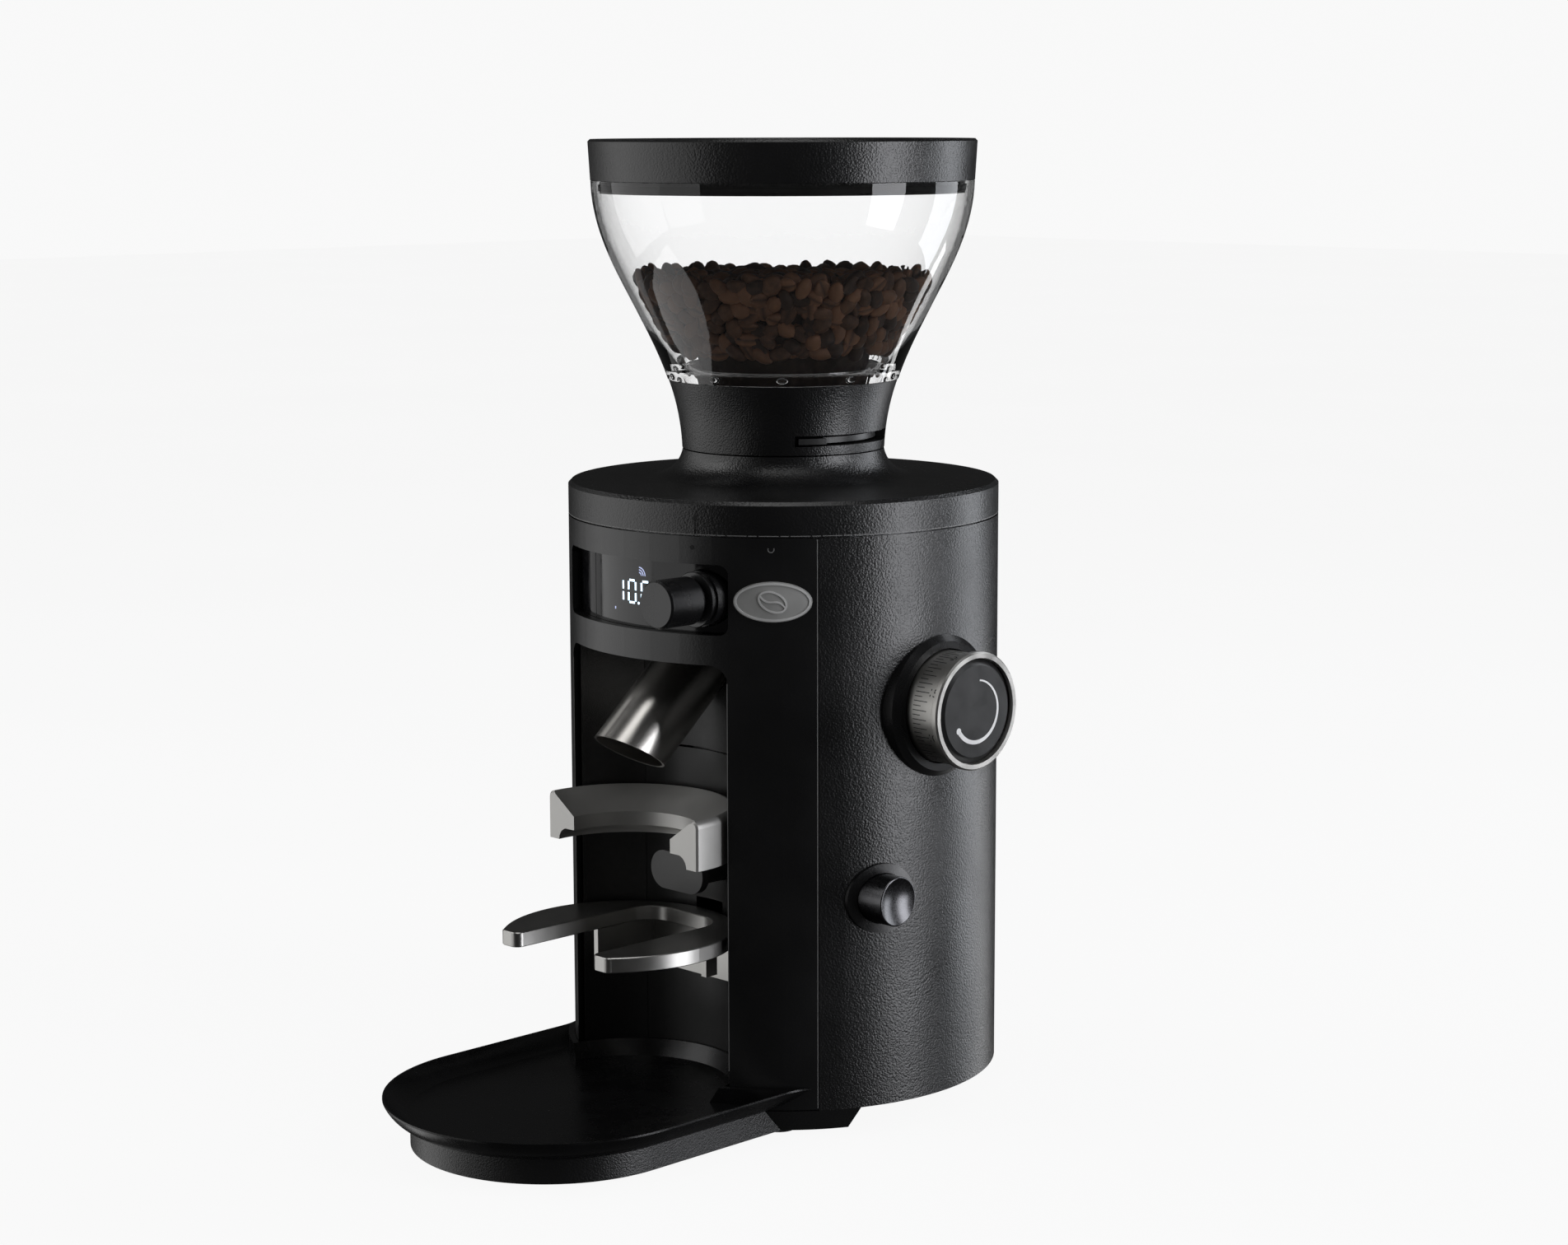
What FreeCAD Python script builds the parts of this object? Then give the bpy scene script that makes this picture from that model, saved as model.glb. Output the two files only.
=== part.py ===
import FreeCAD, Part
import math
import os

# Burr coffee grinder with a clear hopper, a front dosing niche and a side grind dial.
# Millimetres, +Z up. The origin is on the table, on the axis of the round body.
# The niche faces -Y, and the grind dial and the power button point along +X.
# Angles called "turn" are counted from -Y towards +X, seen from above.

# Body
BODY_R = 95.0
WALL = 3.0
GAP = 0.3                 # clearance between neighbouring covers
BODY_BOTTOM_Z = 13.0
BODY_TOP_Z = 258.9
PANEL_TURN = 54.3         # half the turn that the front panel spans
PANEL_SEAM = 0.15         # degrees of seam on each side of the panel
PANEL_STRIPS = 12

# Niche
NICHE_Y = -95.0
NICHE_R = 49.3
NICHE_TOP_Z = 204.8
NICHE_HALF_W = 49.0
LINER_WALL = 2.5
INSERT_HALF_W = 30.3

# Display recess
DISPLAY_HALF_W = 49.4
DISPLAY_Z0 = 217.5
DISPLAY_Z1 = 247.3
DISPLAY_CORNER_R = 4.0
GLASS_R = 90.3
GLASS_T = 2.0

# Control knob
KNOB_X = 36.5
KNOB_Z = 232.4
KNOB_R = 10.2
KNOB_FRONT_Y = -110.0
KNOB_BACK_Y = -90.0
STEM_R = 3.0
RUNNING = 0.05            # radial clearance of shafts in their bores

# Badge
BADGE_TURN = 42.7
BADGE_HALF_W = 16.5
BADGE_HALF_H = 8.5

# Grind dial
DIAL_Z = 183.7
DIAL_R = 24.0
DIAL_RIM_R = 25.3
DIAL_FACE_X = 116.0
COLLAR_R = 30.4
COLLAR_FACE_X = 98.0
DIAL_SHAFT_R = 4.0

# Power button
BUTTON_Y = -31.0
BUTTON_Z = 104.0
BUTTON_R = 10.7
BUTTON_FACE_X = 100.0
BUTTON_COLLAR_R = 15.0

# Chute
CHUTE_TILT = 49.0         # degrees between the chute's axis and the vertical
CHUTE_R = 15.75
CHUTE_WALL = 1.0
CHUTE_MOUTH = (0.0, -92.9, 163.4)
MOUTH_TILT = 31.0         # degrees between the mouth's plane and the table

# Portafilter ring and fork
RING_R = 47.7
RING_OPENING_R = 31.0
RING_Z0 = 119.4
RING_Z1 = 140.4
RING_END_Y = -98.0
FORK_TOP_Z = 87.0
FORK_T = 6.5
FORK_R = 48.5
FORK_CENTRE_Y = -98.0
FORK_SLOT_HALF_W = 24.0
FORK_SLOT_END_Y = -60.0
FORK_TIP_Y = -137.0

# Trigger paddle
PADDLE_Z = 106.0
PADDLE_W = 33.0
PADDLE_H = 17.0
PADDLE_FACE_Y = -66.0

# Drip tray and base
TRAY_R = 72.3
TRAY_CENTRE_Y = -137.9
TRAY_Z0 = 13.2
TRAY_Z1 = 23.2
TRAY_FLOOR_Z = 16.4
TRAY_BLEND_R = 25.5
TRAY_BLEND_Y = -70.3
SUPPORT_R = 61.5
FOOT_Z0 = 2.5
FOOT_BOTTOM_R = 88.0
FOOT_EDGE_Y = 39.4
FOOT_WALL = 4.0
REAR_FOOT_HALF = 40.0
PAD_R = 8.0
FRONT_PAD = (52.0, 55.0)  # distances of the rubber pads from the body's axis
REAR_PAD = (28.0, 58.0)
TRAY_PAD = (30.0, 165.0)

# Top cover
COVER_Z0 = 259.5
COVER_EDGE_Z = 273.8
COVER_INNER_Z = 275.5
COLLAR_TOP_Z = 287.3
NECK_BASE_R = 44.4

# Hopper
NECK_Z0 = 287.9
NECK_Z1 = 317.7
BOWL_Z0 = 318.0
BOWL_Z1 = 404.0
BOWL_WALL = 2.7
THROAT_R = 24.0
SHUTTER_Z0 = 291.7
SHUTTER_Z1 = 296.3
SLOT_TURN0 = 51.8
SLOT_TURN1 = 134.0
TAB_SWEEP = 16.0
WINDOW_HALF_SWEEP = 31.0
LID_Z0 = 404.3
LID_Z1 = 422.0
LID_R = 84.8

# Drive, from the motor up to the burrs
MOTOR_R = 34.0
MOTOR_Z0 = 38.0
MOTOR_Z1 = 133.3
PLATE_T = 4.0
SHAFT_R = 5.0
SPINDLE_R = 9.0
BURR_R = 27.0
BURR_T = 7.0
BURR_GAP = 1.0
LOWER_BURR_Z = 217.0
CHAMBER_Z0 = 204.7
CHAMBER_Z1 = 250.0
CHAMBER_R = 44.0
CHAMBER_INNER_R = 40.0
POSTS = ((58.0, -18.0), (45.0, 33.0), (-58.0, -18.0), (-45.0, 33.0))
POST_R = 4.0

# Adjusting gears: a pinion on the dial shaft turns a crown ring above it
PINION_TEETH = 12
CROWN_TEETH = 48
PINION_PITCH_R = 9.5
CROWN_PITCH_R = PINION_PITCH_R * CROWN_TEETH / PINION_TEETH
TOOTH_W = 2.0             # at the pitch line
TOOTH_RISE = 1.1          # from the pitch line to the tip
TOOTH_ROOT = 1.7          # from the pitch line to the root
GEAR_FACE = 6.0

FAR = 300.0
UP = FreeCAD.Vector(0, 0, 1)
RIGHT = FreeCAD.Vector(1, 0, 0)
BACK = FreeCAD.Vector(0, 1, 0)


def vec(x, y, z):
    return FreeCAD.Vector(x, y, z)


def box(x0, x1, y0, y1, z0, z1):
    return Part.makeBox(x1 - x0, y1 - y0, z1 - z0, vec(x0, y0, z0))


def disc(radius, z0, z1, x=0.0, y=0.0):
    return Part.makeCylinder(radius, z1 - z0, vec(x, y, z0))


def tube(outer, inner, z0, z1, x=0.0, y=0.0):
    return disc(outer, z0, z1, x, y).cut(disc(inner, z0 - 1, z1 + 1, x, y))


def rod_x(radius, x0, x1, y, z):
    return Part.makeCylinder(radius, x1 - x0, vec(x0, y, z), RIGHT)


def rod_y(radius, y0, y1, x, z):
    return Part.makeCylinder(radius, y1 - y0, vec(x, y0, z), BACK)


def frustum(r0, r1, z0, z1, x=0.0, y=0.0):
    return Part.makeCone(r0, r1, z1 - z0, vec(x, y, z0))


def sector(turn0, turn1, radius, z0, z1):
    """A pie slice about the body's axis, between two turns."""
    wedge = Part.makeCylinder(radius, z1 - z0, vec(0, 0, z0), UP, turn1 - turn0)
    wedge.rotate(vec(0, 0, 0), UP, turn0 - 90.0)
    return wedge


def face_of(points, place):
    """A flat face from (a, b) points, with place turning each into a vector."""
    corners = [place(a, b) for a, b in points]
    return Part.Face(Part.makePolygon(corners + corners[:1]))


def turned(points):
    """Turn an outline of (radius, z) points about the body's axis."""
    outline = face_of(points, lambda r, z: vec(r, 0, z))
    return outline.revolve(vec(0, 0, 0), UP, 360)


def fillet_along(solid, axis, radius):
    """Round the straight edges that run along an axis."""
    edges = []
    for edge in solid.Edges:
        run = edge.Vertexes[-1].Point.sub(edge.Vertexes[0].Point)
        if run.Length > 0.1 and abs(run.dot(axis)) > 0.999 * run.Length:
            edges.append(edge)
    return solid.makeFillet(radius, edges)


def rounded_box(limits, axis, radius):
    return fillet_along(box(*limits), axis, radius)


def stadium_y(width, height, y0, y1, x, z):
    """A slab with round ends, across X, that runs from y0 to y1."""
    end_r = height / 2.0
    reach = width / 2.0 - end_r
    bar = box(x - reach, x + reach, y0, y1, z - end_r, z + end_r)
    ends = [rod_y(end_r, y0, y1, x + side * reach, z) for side in (-1, 1)]
    return bar.fuse(ends).removeSplitter()


def mirrored(solid):
    return solid.mirror(vec(0, 0, 0), RIGHT)


def both_sides(solid):
    return solid.fuse(mirrored(solid)).removeSplitter()


def group(solids):
    return Part.makeCompound(solids)


def chute_axis():
    tilt = math.radians(CHUTE_TILT)
    return vec(0, math.sin(tilt), math.cos(tilt))


def chute_rod(radius):
    """A long rod along the chute's axis."""
    axis = chute_axis()
    start = vec(*CHUTE_MOUTH).sub(axis * 60.0)
    return Part.makeCylinder(radius, 160.0, start, axis)


# Casing

def body_housing():
    shell = tube(BODY_R, BODY_R - WALL, BODY_BOTTOM_Z, BODY_TOP_Z)
    shell = shell.cut(sector(-PANEL_TURN, PANEL_TURN, 2 * BODY_R, 0, FAR))
    shell = shell.cut(rod_x(27.3, 70, 110, 0, DIAL_Z))
    shell = shell.cut(rod_x(BUTTON_COLLAR_R + 0.1, 70, 110, BUTTON_Y, BUTTON_Z))
    shell = shell.cut(box(-17.3, 17.3, 80, 100, 21.2, 48.8))
    vent = sector(-1.2, 1.2, 2 * BODY_R, 70, 96)
    for turn in range(152, 212, 6):
        slot = vent.copy()
        slot.rotate(vec(0, 0, 0), UP, turn)
        shell = shell.cut(slot)
    return shell


def front_panel():
    """The curved cover, joined from narrow strips so that its long faces stay narrow."""
    wall = tube(BODY_R, BODY_R - WALL, BODY_BOTTOM_Z + 0.5, BODY_TOP_Z)
    edge = PANEL_TURN - PANEL_SEAM
    step = 2 * edge / PANEL_STRIPS
    turns = [-edge + number * step for number in range(PANEL_STRIPS)]
    strips = [wall.common(sector(turn, turn + step, 2 * BODY_R, 0, FAR)) for turn in turns]
    shell = strips[0].fuse(strips[1:])
    niche = rounded_box((-NICHE_HALF_W, NICHE_HALF_W, -110, -60, -20, NICHE_TOP_Z), BACK, 7.5)
    shell = shell.cut(niche)
    return shell.cut(display_prism(0.0))


def display_prism(inset):
    """The outline of the display recess, run through the front of the body."""
    half = DISPLAY_HALF_W - inset
    limits = (-half, half, -110, -60, DISPLAY_Z0 + inset, DISPLAY_Z1 - inset)
    return rounded_box(limits, BACK, DISPLAY_CORNER_R - inset)


def niche_shell():
    outer = NICHE_R + LINER_WALL
    top = NICHE_TOP_Z + LINER_WALL
    shell = disc(outer, BODY_BOTTOM_Z + 0.5, top, 0, NICHE_Y)
    shell = shell.cut(disc(NICHE_R, 0, NICHE_TOP_Z, 0, NICHE_Y))
    shell = shell.common(disc(BODY_R - WALL - 0.1, 0, FAR))
    return shell.cut(chute_rod(CHUTE_R + GAP))


def niche_liner():
    half = INSERT_HALF_W + 0.2
    return niche_shell().cut(box(-half, half, -60, 0, 0, NICHE_TOP_Z))


def back_insert():
    half = INSERT_HALF_W
    strip = niche_shell().common(box(-half, half, -75, 0, 0, NICHE_TOP_Z - 0.2))
    strip = strip.cut(box(-19, 19, -60, -44.6, 157.1, 158.1))
    strip = strip.cut(stadium_y(26.6, 11.6, -60, -30, 0, PADDLE_Z))
    return strip.cut(box(-8.4, 8.4, -60, -30, 61.5, 90.5))


def base_plate():
    plate = disc(BODY_R - WALL - 0.1, BODY_BOTTOM_Z, BODY_BOTTOM_Z + 3.3)
    plate = plate.cut(disc(NICHE_R + LINER_WALL + 0.1, 0, 30, 0, NICHE_Y))
    for x, y in POSTS:
        plate = plate.cut(disc(1.9, 0, 30, x, y))
    for x in range(-30, 31, 10):
        plate = plate.cut(box(x - 1.5, x + 1.5, -25, 25, 0, 30))
    return plate


def foot_block(pad_x, pad_y, half):
    """A hollow block of this half width under the back of the body that flares up to the body's edge."""
    outside = box(-half, half, FOOT_EDGE_Y, FAR, 0, FAR)
    inside = box(FOOT_WALL - half, half - FOOT_WALL, FOOT_EDGE_Y + FOOT_WALL, FAR, 0, FAR)
    block = frustum(FOOT_BOTTOM_R, BODY_R, FOOT_Z0, BODY_BOTTOM_Z).common(outside)
    hollow = frustum(FOOT_BOTTOM_R - FOOT_WALL, FOOT_BOTTOM_R - 1, 0, BODY_BOTTOM_Z - WALL)
    block = block.cut(hollow.common(inside))
    bosses = [disc(PAD_R + 2, FOOT_Z0, BODY_BOTTOM_Z - 1, x, pad_y) for x in (-pad_x, pad_x)]
    return block.fuse(bosses).removeSplitter()


def front_foot():
    block = foot_block(*FRONT_PAD, BODY_R)
    block.rotate(vec(0, 0, 0), UP, 180)
    return block


def rear_foot():
    return foot_block(*REAR_PAD, REAR_FOOT_HALF)


def tray_support():
    def slab(inset, z0, z1):
        half = SUPPORT_R - inset
        front_y = TRAY_CENTRE_Y + 0.9
        body = box(-half, half, front_y, -50, z0, z1)
        return body.fuse(disc(half, z0, z1, 0, front_y)).removeSplitter()

    pad_x, pad_y = TRAY_PAD
    band = slab(0, FOOT_Z0, BODY_BOTTOM_Z)
    band = band.cut(slab(FOOT_WALL, 0, BODY_BOTTOM_Z - WALL))
    band = band.fuse([disc(PAD_R + 2, FOOT_Z0, BODY_BOTTOM_Z - 1, x, -pad_y) for x in (-pad_x, pad_x)])
    band = band.cut(frustum(FOOT_BOTTOM_R + 0.1, BODY_R + 0.1, FOOT_Z0, BODY_BOTTOM_Z))
    return band.cut(disc(FOOT_BOTTOM_R + 0.1, 0, FOOT_Z0)).removeSplitter()


def rubber_feet():
    places = ((FRONT_PAD[0], -FRONT_PAD[1]), REAR_PAD, (TRAY_PAD[0], -TRAY_PAD[1]))
    pads = []
    for x, y in places:
        pad = disc(PAD_R, 0, FOOT_Z0, x, y)
        rim = min(pad.Edges, key=lambda e: e.BoundBox.ZMax)
        pad = pad.makeChamfer(0.5, [rim])
        pads += [pad, mirrored(pad)]
    return group(pads)


def bayonet_ring():
    ring = tube(BODY_R - WALL - 0.2, 87.5, 252, 264)
    lugs = tube(BODY_R - WALL - 0.2, 84.5, 252, 255)
    return ring.fuse(lugs).removeSplitter()


def top_cover():
    rim = COVER_EDGE_Z
    outer = Part.makePolygon([vec(BODY_R, 0, COVER_Z0), vec(BODY_R, 0, rim - 1.5),
                              vec(BODY_R - 1.5, 0, rim), vec(58.0, 0, COVER_INNER_Z)])
    sweep_mid = vec(48.4, 0, 279.6)
    sweep = Part.Arc(vec(58.0, 0, COVER_INNER_Z), sweep_mid, vec(NECK_BASE_R, 0, COLLAR_TOP_Z)).toShape()
    bore = 31.0
    inner = Part.makePolygon([vec(NECK_BASE_R, 0, COLLAR_TOP_Z), vec(bore, 0, COLLAR_TOP_Z),
                              vec(bore, 0, 264.0), vec(bore + 3, 0, 264.0), vec(bore + 3, 0, 272.3),
                              vec(60.0, 0, 272.3), vec(88.0, 0, 270.6), vec(92.1, 0, 268.0),
                              vec(92.1, 0, COVER_Z0), vec(BODY_R, 0, COVER_Z0)])
    outline = Part.Wire(outer.Edges + [sweep] + inner.Edges)
    cover = Part.Face(outline).revolve(vec(0, 0, 0), UP, 360)
    notch = box(BODY_R - 0.5, BODY_R + 1, -0.35, 0.35, COVER_Z0 - 1, 268)
    notch.rotate(vec(0, 0, 0), UP, 22.7 - 90.0)
    return cover.cut(notch)


# Display and controls

def display_frame():
    frame = tube(BODY_R - WALL - 0.1, 85.5, DISPLAY_Z0 - 3, DISPLAY_Z1 + 3)
    limits = (-DISPLAY_HALF_W - 3, DISPLAY_HALF_W + 3, -110, -60, DISPLAY_Z0 - 3, DISPLAY_Z1 + 3)
    frame = frame.common(rounded_box(limits, BACK, DISPLAY_CORNER_R + 3))
    return frame.cut(display_prism(0.0))


def display_glass():
    glass = tube(GLASS_R, GLASS_R - GLASS_T, DISPLAY_Z0 - 3, DISPLAY_Z1 + 3)
    glass = glass.common(display_prism(0.15))
    return glass.cut(rod_y(12.0, -110, -60, KNOB_X, KNOB_Z))


def control_board():
    board = box(-42, 46, -72.1, -70.5, 216, 249)
    module = box(-20, 20, -83, -72.1, 220, 245)
    return board.fuse(module).removeSplitter()


def encoder_body():
    can = box(KNOB_X - 6.5, KNOB_X + 6.5, -79.8, -72.2, KNOB_Z - 6.5, KNOB_Z + 6.5)
    bush = rod_y(4.9, KNOB_BACK_Y, -79.8, KNOB_X, KNOB_Z)
    bore = rod_y(STEM_R + RUNNING, -95, -80.5, KNOB_X, KNOB_Z)
    return can.fuse(bush).removeSplitter().cut(bore)


def knob_base_ring():
    """A collar on the glass with a groove round it, between two thin ribs."""
    ring = rod_y(11.7, -88.9, -80.0, KNOB_X, KNOB_Z)
    ring = ring.makeChamfer(0.3, [foremost_edge(ring)])
    groove = rod_y(13.0, -87.9, -85.4, KNOB_X, KNOB_Z).cut(rod_y(10.6, -88, -85, KNOB_X, KNOB_Z))
    return ring.cut([groove, rod_y(5.0, -90, -79, KNOB_X, KNOB_Z)])


def foremost_edge(solid):
    return min(solid.Edges, key=lambda e: e.BoundBox.YMax)


def encoder_stem():
    return rod_y(STEM_R, -106, -82.5, KNOB_X, KNOB_Z)


def control_knob():
    barrel = rod_y(KNOB_R, KNOB_FRONT_Y, KNOB_BACK_Y - 2.2, KNOB_X, KNOB_Z)
    barrel = barrel.makeChamfer(0.8, [foremost_edge(barrel)])
    neck = rod_y(8.6, KNOB_BACK_Y - 2.2, KNOB_BACK_Y, KNOB_X, KNOB_Z)
    knob = barrel.fuse(neck).removeSplitter()
    knob = knob.cut(rod_y(5.5, -94.5, -80, KNOB_X, KNOB_Z))
    return knob.cut(rod_y(STEM_R + RUNNING, -106.3, -80, KNOB_X, KNOB_Z))


def badge():
    plate = tube(BODY_R + 0.9, BODY_R + 0.02, 200, 260)
    outline = Part.makeCylinder(BADGE_HALF_H, 20, vec(85, 0, 0), RIGHT)
    stretch = FreeCAD.Matrix()
    stretch.scale(1.0, BADGE_HALF_W / BADGE_HALF_H, 1.0)
    outline = outline.transformGeometry(stretch)
    outline.translate(vec(0, 0, KNOB_Z))
    outline.rotate(vec(0, 0, 0), UP, BADGE_TURN - 90.0)
    return plate.common(outline)


# Grind dial

def dial_collar():
    ring = rod_x(COLLAR_R, 70, COLLAR_FACE_X, 0, DIAL_Z)
    face_edge = max(ring.Edges, key=lambda e: e.BoundBox.XMin)
    ring = ring.makeChamfer(2.6, [face_edge]).cut(disc(BODY_R + 0.02, 100, 250))
    neck = rod_x(27.0, 84, 96, 0, DIAL_Z)
    ring = ring.fuse(neck).removeSplitter()
    ring = ring.cut(rod_x(DIAL_R + 0.7, 88, 110, 0, DIAL_Z))
    return ring.cut(rod_x(DIAL_SHAFT_R + RUNNING, 70, 110, 0, DIAL_Z))


def dial_sleeve():
    rim_x = DIAL_FACE_X - 3.4
    sleeve = rod_x(DIAL_R, 90, rim_x, 0, DIAL_Z)
    rim = rod_x(DIAL_RIM_R, rim_x, DIAL_FACE_X, 0, DIAL_Z)
    rim = rim.makeChamfer(0.7, [e for e in rim.Edges if e.BoundBox.XLength < 0.1])
    sleeve = sleeve.fuse(rim).removeSplitter()
    sleeve = sleeve.cut(rod_x(21.5, 80, rim_x, 0, DIAL_Z))
    return sleeve.cut(rod_x(22.7, rim_x, 120, 0, DIAL_Z))


def dial_cap():
    cap = rod_x(22.5, DIAL_FACE_X - 3.3, DIAL_FACE_X - 2.6, 0, DIAL_Z)
    cone = Part.makeCone(22.5, 19.6, 2.2, vec(DIAL_FACE_X - 2.6, 0, DIAL_Z), RIGHT)
    web = rod_x(21.4, 104, DIAL_FACE_X - 3.3, 0, DIAL_Z)
    hub = rod_x(8.0, 91, 104, 0, DIAL_Z)
    cap = cap.fuse([cone, web, hub]).removeSplitter()
    return cap.cut(rod_x(DIAL_SHAFT_R + 0.02, 80, 107.2, 0, DIAL_Z))


def dial_shaft():
    return rod_x(DIAL_SHAFT_R, 33, 107, 0, DIAL_Z)


def tooth_outline(place):
    """One tooth, from root to tip, about its own centre line."""
    slope = math.tan(math.radians(20.0))
    half = TOOTH_W / 2.0
    low = half + TOOTH_ROOT * slope
    high = half - TOOTH_RISE * slope
    points = ((-low, -TOOTH_ROOT - 0.5), (low, -TOOTH_ROOT - 0.5), (low, -TOOTH_ROOT),
              (high, TOOTH_RISE), (-high, TOOTH_RISE), (-low, -TOOTH_ROOT))
    return face_of(points, place)


def dial_pinion():
    x0 = CROWN_PITCH_R - GEAR_FACE / 2.0
    root = PINION_PITCH_R - TOOTH_ROOT
    gear = rod_x(root, x0, x0 + GEAR_FACE, 0, DIAL_Z)
    outline = tooth_outline(lambda a, b: vec(x0, a, DIAL_Z + PINION_PITCH_R + b))
    tooth = outline.extrude(RIGHT * GEAR_FACE)
    teeth = []
    for number in range(PINION_TEETH):
        one = tooth.copy()
        one.rotate(vec(0, 0, DIAL_Z), RIGHT, (number + 0.5) * 360.0 / PINION_TEETH)
        teeth.append(one)
    gear = gear.fuse(teeth).removeSplitter()
    return gear.cut(rod_x(DIAL_SHAFT_R + 0.02, 0, 100, 0, DIAL_Z))


def adjusting_ring():
    pitch_z = DIAL_Z + PINION_PITCH_R
    root_z = pitch_z + TOOTH_ROOT
    ring = tube(CROWN_PITCH_R + GEAR_FACE / 2, 22.3, root_z, 199)
    hub = tube(27, 22.3, 199, CHAMBER_Z0 - GAP)
    x0 = CROWN_PITCH_R - GEAR_FACE / 2.0
    outline = tooth_outline(lambda a, b: vec(x0, a, pitch_z - b))
    tooth = outline.extrude(RIGHT * GEAR_FACE)
    teeth = []
    for number in range(CROWN_TEETH):
        one = tooth.copy()
        one.rotate(vec(0, 0, 0), UP, number * 360.0 / CROWN_TEETH)
        teeth.append(one)
    return ring.fuse([hub] + teeth).removeSplitter()


# Power button and trigger

def power_button_collar():
    ring = rod_x(BUTTON_COLLAR_R, 79.3, 110, BUTTON_Y, BUTTON_Z)
    ring = ring.common(disc(BODY_R + 1.2, 50, 150))
    return ring.cut(rod_x(BUTTON_R + GAP, 70, 110, BUTTON_Y, BUTTON_Z))


def power_button():
    barrel = rod_x(BUTTON_R, 79, BUTTON_FACE_X, BUTTON_Y, BUTTON_Z)
    front = max(barrel.Edges, key=lambda e: e.BoundBox.XMin)
    barrel = barrel.makeFillet(0.6, [front])
    flange = rod_x(12.6, 76, 79, BUTTON_Y, BUTTON_Z)
    dish_r = 22.0
    depth = 2.4
    dish = Part.makeSphere(dish_r, vec(BUTTON_FACE_X + dish_r - depth, BUTTON_Y, BUTTON_Z))
    return barrel.fuse(flange).removeSplitter().cut(dish)


def power_switch():
    return box(56, 72.5, BUTTON_Y - 9, BUTTON_Y + 9, BUTTON_Z - 8, BUTTON_Z + 8)


def trigger_paddle():
    pad = stadium_y(PADDLE_W, PADDLE_H, PADDLE_FACE_Y, PADDLE_FACE_Y + 4, 0, PADDLE_Z)
    stem = stadium_y(26, 11, PADDLE_FACE_Y + 4, -44.2, 0, PADDLE_Z)
    return pad.fuse(stem).removeSplitter()


def trigger_switch():
    return box(-10, 10, -40.2, -35.4, PADDLE_Z - 5, PADDLE_Z + 5)


# Chute, ring, fork and tray

def chute():
    pipe = chute_rod(CHUTE_R).cut(chute_rod(CHUTE_R - CHUTE_WALL))
    plate = chute_rod(CHUTE_R - 0.5).common(box(-20, 20, -46.5, -44.4, 180, 208.9))
    pipe = pipe.fuse(plate).removeSplitter()
    pipe = pipe.cut(disc(CHAMBER_R + GAP, 100, FAR))
    pipe = pipe.cut(box(-40, 40, -44, 80, 100, FAR))
    below = box(-60, 60, -60, 60, -120, 0)
    below.rotate(vec(0, 0, 0), RIGHT, -MOUTH_TILT)
    below.translate(vec(*CHUTE_MOUTH))
    return pipe.cut(below)


def portafilter_ring():
    """An open ring with a funnel inside and a stepped underside."""
    top = RING_Z1
    low = RING_Z0
    round_r = 3.0
    lip_r = RING_OPENING_R
    near = round_r * (1 - math.sqrt(0.5))
    outer = Part.makePolygon([vec(41, NICHE_Y, low), vec(RING_R, NICHE_Y, low),
                              vec(RING_R, NICHE_Y, top - round_r)])
    corner = Part.Arc(vec(RING_R, NICHE_Y, top - round_r), vec(RING_R - near, NICHE_Y, top - near),
                      vec(RING_R - round_r, NICHE_Y, top)).toShape()
    inner = Part.makePolygon([vec(RING_R - round_r, NICHE_Y, top), vec(lip_r, NICHE_Y, low + 11.4),
                              vec(lip_r, NICHE_Y, low + 5.4), vec(36.5, NICHE_Y, low + 5.4)])
    step = Part.Arc(vec(36.5, NICHE_Y, low + 5.4), vec(39.6, NICHE_Y, low + 3.6),
                    vec(41, NICHE_Y, low)).toShape()
    outline = Part.Wire(outer.Edges + [corner] + inner.Edges + [step])
    ring = Part.Face(outline).revolve(vec(0, NICHE_Y, 0), UP, 360)
    ring = ring.cut(box(-60, 60, -160, RING_END_Y, 100, 160))
    ends = [e for e in ring.Edges if e.BoundBox.YMax < RING_END_Y + 0.1 and e.BoundBox.ZLength > 17]
    ring = ring.makeChamfer(0.8, ends)
    lug = box(-14, 14, -60, -44, 123, 137).common(disc(NICHE_R - 0.05, 0, FAR, 0, NICHE_Y))
    lug = lug.cut(disc(RING_R - 1, 0, FAR, 0, NICHE_Y))
    return ring.fuse(lug).removeSplitter()


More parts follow.
